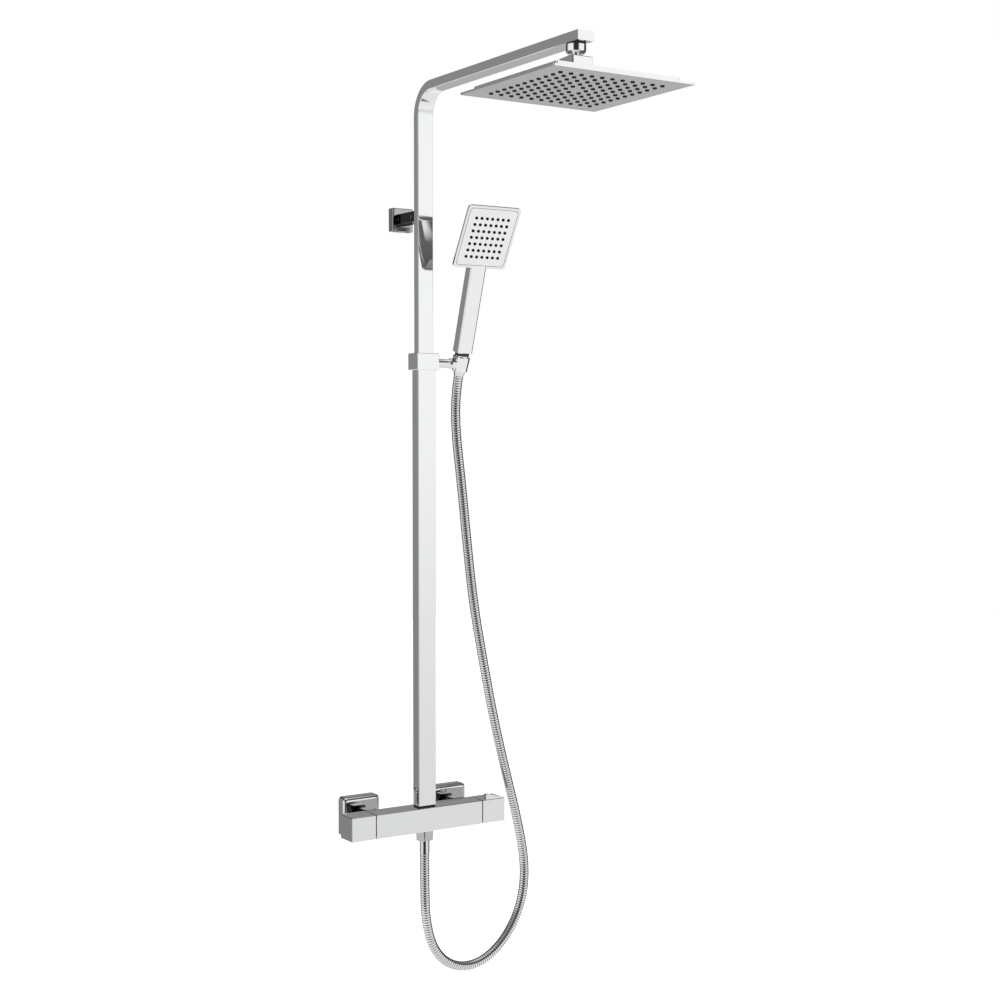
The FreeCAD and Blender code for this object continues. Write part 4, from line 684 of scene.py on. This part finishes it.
# ------------------------------------------------------------------ hose
@dataclass
class ShowerHose:
    """The interlocked metal hose, in three stretches; only the loop rides on the column."""

    radius: float = 7.0 * MM
    groove: float = 0.5 * MM
    pitch: float = 3.7 * MM
    sides: int = 18
    top_length: float = 90 * MM
    middle_length: float = 150 * MM
    lean: float = 17.5
    nut_end: float = 17.5
    lead: float = 30.0
    pivot: Point = (63.0, -73.0, 670.0)
    ferrule_end: float = -52.5
    tail: float = 48.0
    riser_y: float = -73.0
    route: tuple[Point, ...] = (
        (64.5, 16.5, 570.0), (73.0, 14.0, 492.0), (81.5, 12.0, 402.0), (91.0, 9.5, 312.0),
        (106.5, 7.0, 225.0), (123.5, 4.5, 137.0), (143.0, 2.0, 56.0), (164.0, 1.0, -20.0),
        (178.0, 0.0, -90.0), (175.0, 0.0, -142.0), (156.0, 0.0, -187.0), (124.0, 0.0, -221.0),
        (86.0, 0.0, -237.0), (46.0, 0.0, -231.0), (15.0, 0.0, -202.0), (1.5, 0.0, -155.0),
    )

    def points(self) -> list[Vector]:
        """The route's points from the handset down and up to the valve, in metres."""
        lean = math.radians(self.lean)
        down = Vector((0.0, math.sin(lean), -math.cos(lean)))
        start = Vector(self.pivot) + down * self.nut_end
        middle = [Vector((x, self.riser_y + back, z)) for x, back, z in self.route]
        end = Vector((0.0, self.riser_y, self.ferrule_end))
        rise = Vector((0, 0, self.tail))
        return [p * MM for p in (start, start + down * self.lead, *middle, end - rise, end)]

    def curve(self) -> bpy.types.Object:
        """The smooth line of the hose as a curve object.

        Returns:
            The curve object, with no bevel.
        """
        data = bpy.data.curves.new("hose_line", "CURVE")
        data.dimensions = "3D"
        data.resolution_u = 24
        spline = data.splines.new("NURBS")
        points = self.points()
        spline.points.add(len(points) - 1)
        for target, point in zip(spline.points, points):
            target.co = (*point, 1.0)
        spline.order_u = 3
        spline.use_endpoint_u = True
        made = bpy.data.objects.new("hose_line", data)
        bpy.context.scene.collection.objects.link(made)
        return made

    def line(self, curve: bpy.types.Object) -> list[Vector]:
        """The points of the curve's own smooth line.

        Args:
            curve: The curve object with no bevel.

        Returns:
            The points in order.
        """
        graph = bpy.context.evaluated_depsgraph_get()
        mesh = bpy.data.meshes.new_from_object(curve.evaluated_get(graph))
        points = [v.co.copy() for v in mesh.vertices]
        bpy.data.meshes.remove(mesh)
        return points

    @staticmethod
    def stretch(points: list[Vector], start: float, end: float) -> list[Vector]:
        """The part of a line between two lengths along it.

        Args:
            points: The line's points.
            start: Length at which the part starts.
            end: Length at which it ends.

        Returns:
            The part's points.
        """
        found: list[Vector] = []
        travelled = 0.0
        for a, b in zip(points, points[1:]):
            run = (b - a).length
            for mark in (start, end):
                if travelled <= mark < travelled + run:
                    found.append(a.lerp(b, (mark - travelled) / run))
            travelled += run
            if start < travelled < end:
                found.append(b.copy())
        if end >= travelled:
            found.append(points[-1].copy())
        return found

    def build(self) -> None:
        curve = self.curve()
        line = self.line(curve)
        total = sum((b - a).length for a, b in zip(line, line[1:]))
        marks = (0.0, self.top_length, self.top_length + self.middle_length, total)
        for start, end, name in zip(marks, marks[1:], ("hose_top", "hose_upper", "hose_loop")):
            path = self.stretch(line, start, end)
            piece = bake(ribbed_hose_tree(), curve, name, {
                "From": start, "To": end, "Radius": self.radius, "Groove": self.groove,
                "Ribs": round((end - start) / self.pitch), "Sides": self.sides,
                "Finish": Finishes.HOSE_STEEL.material, "Groove Painted Shade": Finishes.HOSE_GROOVE_PAINTED_SHADE.material})
            if name == "hose_top":
                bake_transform(piece)
            elif name == "hose_upper":
                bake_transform(piece)
            else:
                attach(piece, "column")
                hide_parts("hose_tube")
            LOG.info("%s: %.3f m, %d faces", name, end - start, len(piece.data.polygons))
        discard(curve)


# ------------------------------------------------------------------ studio
@dataclass
class Studio:
    """The pale floor, the soft light and the camera."""

    floor_height: float = -0.62
    floor_size: float = 14.0
    eye: Point = (-1.2457, -2.2158, 0.5734)
    yaw: float = 32.75
    pitch: float = 2.4
    lens: float = 60.81
    floor_glow: float = 0.9
    light_power: float = 30.0
    light_size: float = 2.5
    light_place: Point = (-1.0, -1.6, 2.6)
    light_aim: Point = (0.0, 0.0, 0.6)

    def camera(self) -> None:
        """Set up the camera."""
        data = bpy.data.cameras.new("camera")
        data.lens = self.lens
        data.sensor_width = 36.0
        data.clip_end = 100.0
        made = bpy.data.objects.new("camera", data)
        made.location = self.eye
        made.rotation_euler = (math.radians(90.0 - self.pitch), 0.0, math.radians(-self.yaw))
        bpy.context.scene.collection.objects.link(made)
        bpy.context.scene.camera = made

    def floor(self) -> None:
        """Lay the pale floor."""
        mesh = bpy.data.meshes.new("floor")
        half = self.floor_size / 2
        z = self.floor_height
        mesh.from_pydata([(-half, -half, z), (half, -half, z), (half, half, z), (-half, half, z)], [],
                         [(0, 1, 2, 3)])
        made = bpy.data.objects.new("floor", mesh)
        bpy.context.scene.collection.objects.link(made)
        material = bpy.data.materials.new("floor_paint")
        material.use_nodes = True
        shader = material.node_tree.nodes["Principled BSDF"]
        shader.inputs["Base Color"].default_value = (0.95, 0.95, 0.95, 1.0)
        shader.inputs["Roughness"].default_value = 0.9
        shader.inputs["Emission Color"].default_value = (1.0, 1.0, 1.0, 1.0)
        shader.inputs["Emission Strength"].default_value = self.floor_glow
        mesh.materials.append(material)
        made.visible_glossy = False

    @staticmethod
    def ramp(tree: bpy.types.NodeTree, place: bpy.types.NodeSocket, low: float, high: float,
             stops: Stops) -> bpy.types.NodeSocket:
        """Add a ramp of grey levels.

        Args:
            tree: The world's tree.
            place: The value that picks the level.
            low: The value at the ramp's start.
            high: The value at the ramp's end.
            stops: Value and brightness of each stop.

        Returns:
            The picked colour.
        """
        share = tree.nodes.new("ShaderNodeMapRange")
        share.inputs["From Min"].default_value = low
        share.inputs["From Max"].default_value = high
        tree.links.new(place, share.inputs["Value"])
        node = tree.nodes.new("ShaderNodeValToRGB")
        elements = node.color_ramp.elements
        while len(elements) < len(stops):
            elements.new(0.5)
        for element, (value, grey) in zip(elements, stops):
            element.position = (value - low) / (high - low)
            element.color = (grey, grey, grey, 1.0)
        tree.links.new(share.outputs[0], node.inputs[0])
        return node.outputs["Color"]

    @staticmethod
    def mix(tree: bpy.types.NodeTree, place: bpy.types.NodeSocket, limits: tuple[float, float],
            first: bpy.types.NodeSocket, second: bpy.types.NodeSocket) -> bpy.types.NodeSocket:
        """Add a smooth change from one colour to another.

        Args:
            tree: The world's tree.
            place: The value that drives the change.
            limits: The values where the change starts and ends.
            first: The colour before it.
            second: The colour after it.

        Returns:
            The mixed colour.
        """
        weight = tree.nodes.new("ShaderNodeMapRange")
        weight.interpolation_type = "SMOOTHSTEP"
        weight.inputs["From Min"].default_value, weight.inputs["From Max"].default_value = limits
        tree.links.new(place, weight.inputs["Value"])
        mixed = tree.nodes.new("ShaderNodeMix")
        mixed.data_type = "RGBA"
        tree.links.new(weight.outputs[0], mixed.inputs["Factor"])
        tree.links.new(first, mixed.inputs["A"])
        tree.links.new(second, mixed.inputs["B"])
        return mixed.outputs["Result"]

    def mirrored_colour(self, tree: bpy.types.NodeTree) -> bpy.types.NodeSocket:
        """Add the nodes that give the grey of each direction that the chrome mirrors.

        Args:
            tree: The world's tree.

        Returns:
            The grey of a direction.
        """
        def math_node(operation: str, *values: bpy.types.NodeSocket | float) -> bpy.types.NodeSocket:
            """Add a Math node on sockets or plain values and return its result."""
            node = tree.nodes.new("ShaderNodeMath")
            node.operation = operation
            for number, value in enumerate(values):
                if isinstance(value, bpy.types.NodeSocket):
                    tree.links.new(value, node.inputs[number])
                else:
                    node.inputs[number].default_value = value
            return node.outputs[0]

        coordinates = tree.nodes.new("ShaderNodeTexCoord")
        turned = tree.nodes.new("ShaderNodeVectorRotate")
        turned.rotation_type = "Z_AXIS"
        turned.inputs["Angle"].default_value = math.radians(self.yaw)
        tree.links.new(coordinates.outputs["Generated"], turned.inputs["Vector"])
        parts = tree.nodes.new("ShaderNodeSeparateXYZ")
        tree.links.new(turned.outputs[0], parts.inputs[0])
        height = parts.outputs["Z"]
        angle = math_node("ARCTAN2", parts.outputs["X"], math_node("MULTIPLY", parts.outputs["Y"], -1.0))
        degrees = math_node("DEGREES", angle)
        walls = self.mix(tree, height, WALL_RISE, self.ramp(tree, degrees, -180.0, 180.0, LOW_WALLS),
                         self.ramp(tree, degrees, -180.0, 180.0, HIGH_WALLS))
        heights = self.ramp(tree, height, -1.0, 1.0, HEIGHTS)
        return self.mix(tree, math_node("ABSOLUTE", height), LEVEL_LIMIT, walls, heights)

    def surroundings(self) -> None:
        """Light the studio: white to the eye, with bright panels and dark gaps for the chrome to mirror."""
        world = bpy.data.worlds.new("studio")
        bpy.context.scene.world = world
        world.use_nodes = True
        tree = world.node_tree
        tree.nodes.clear()
        out = tree.nodes.new("ShaderNodeOutputWorld")
        seen = tree.nodes.new("ShaderNodeBackground")
        seen.inputs["Color"].default_value = (1.0, 1.0, 1.0, 1.0)
        mirrored = tree.nodes.new("ShaderNodeBackground")
        path = tree.nodes.new("ShaderNodeLightPath")
        pick = tree.nodes.new("ShaderNodeMixShader")
        tree.links.new(self.mirrored_colour(tree), mirrored.inputs["Color"])
        tree.links.new(path.outputs["Is Camera Ray"], pick.inputs[0])
        tree.links.new(mirrored.outputs[0], pick.inputs[1])
        tree.links.new(seen.outputs[0], pick.inputs[2])
        tree.links.new(pick.outputs[0], out.inputs["Surface"])

    def lights(self) -> None:
        """Hang one large soft light for the rubber and the floor."""
        data = bpy.data.lights.new("soft_top", "AREA")
        data.energy = self.light_power
        data.shape = "SQUARE"
        data.size = self.light_size
        made = bpy.data.objects.new("soft_top", data)
        made.location = self.light_place
        aim = Vector(self.light_aim) - Vector(made.location)
        made.rotation_euler = aim.to_track_quat("-Z", "Y").to_euler()
        made.visible_glossy = False
        bpy.context.scene.collection.objects.link(made)

    def build(self) -> None:
        """Set up the whole studio."""
        self.camera()
        self.floor()
        self.surroundings()
        self.lights()
        bpy.context.scene.view_settings.view_transform = "Standard"
        LOG.info("studio ready")


def main() -> None:
    """Build every sub-assembly and the studio."""
    logging.basicConfig(level=logging.INFO, format="%(message)s")
    builders: list[Callable[[], None]] = [Studio().build, BarValve().build, Riser().build, WallBracket().build,
                                          OverheadHead().build, Handset().build, ShowerHose().build]
    for step in builders:
        step()


if __name__ == "__main__":
    main()
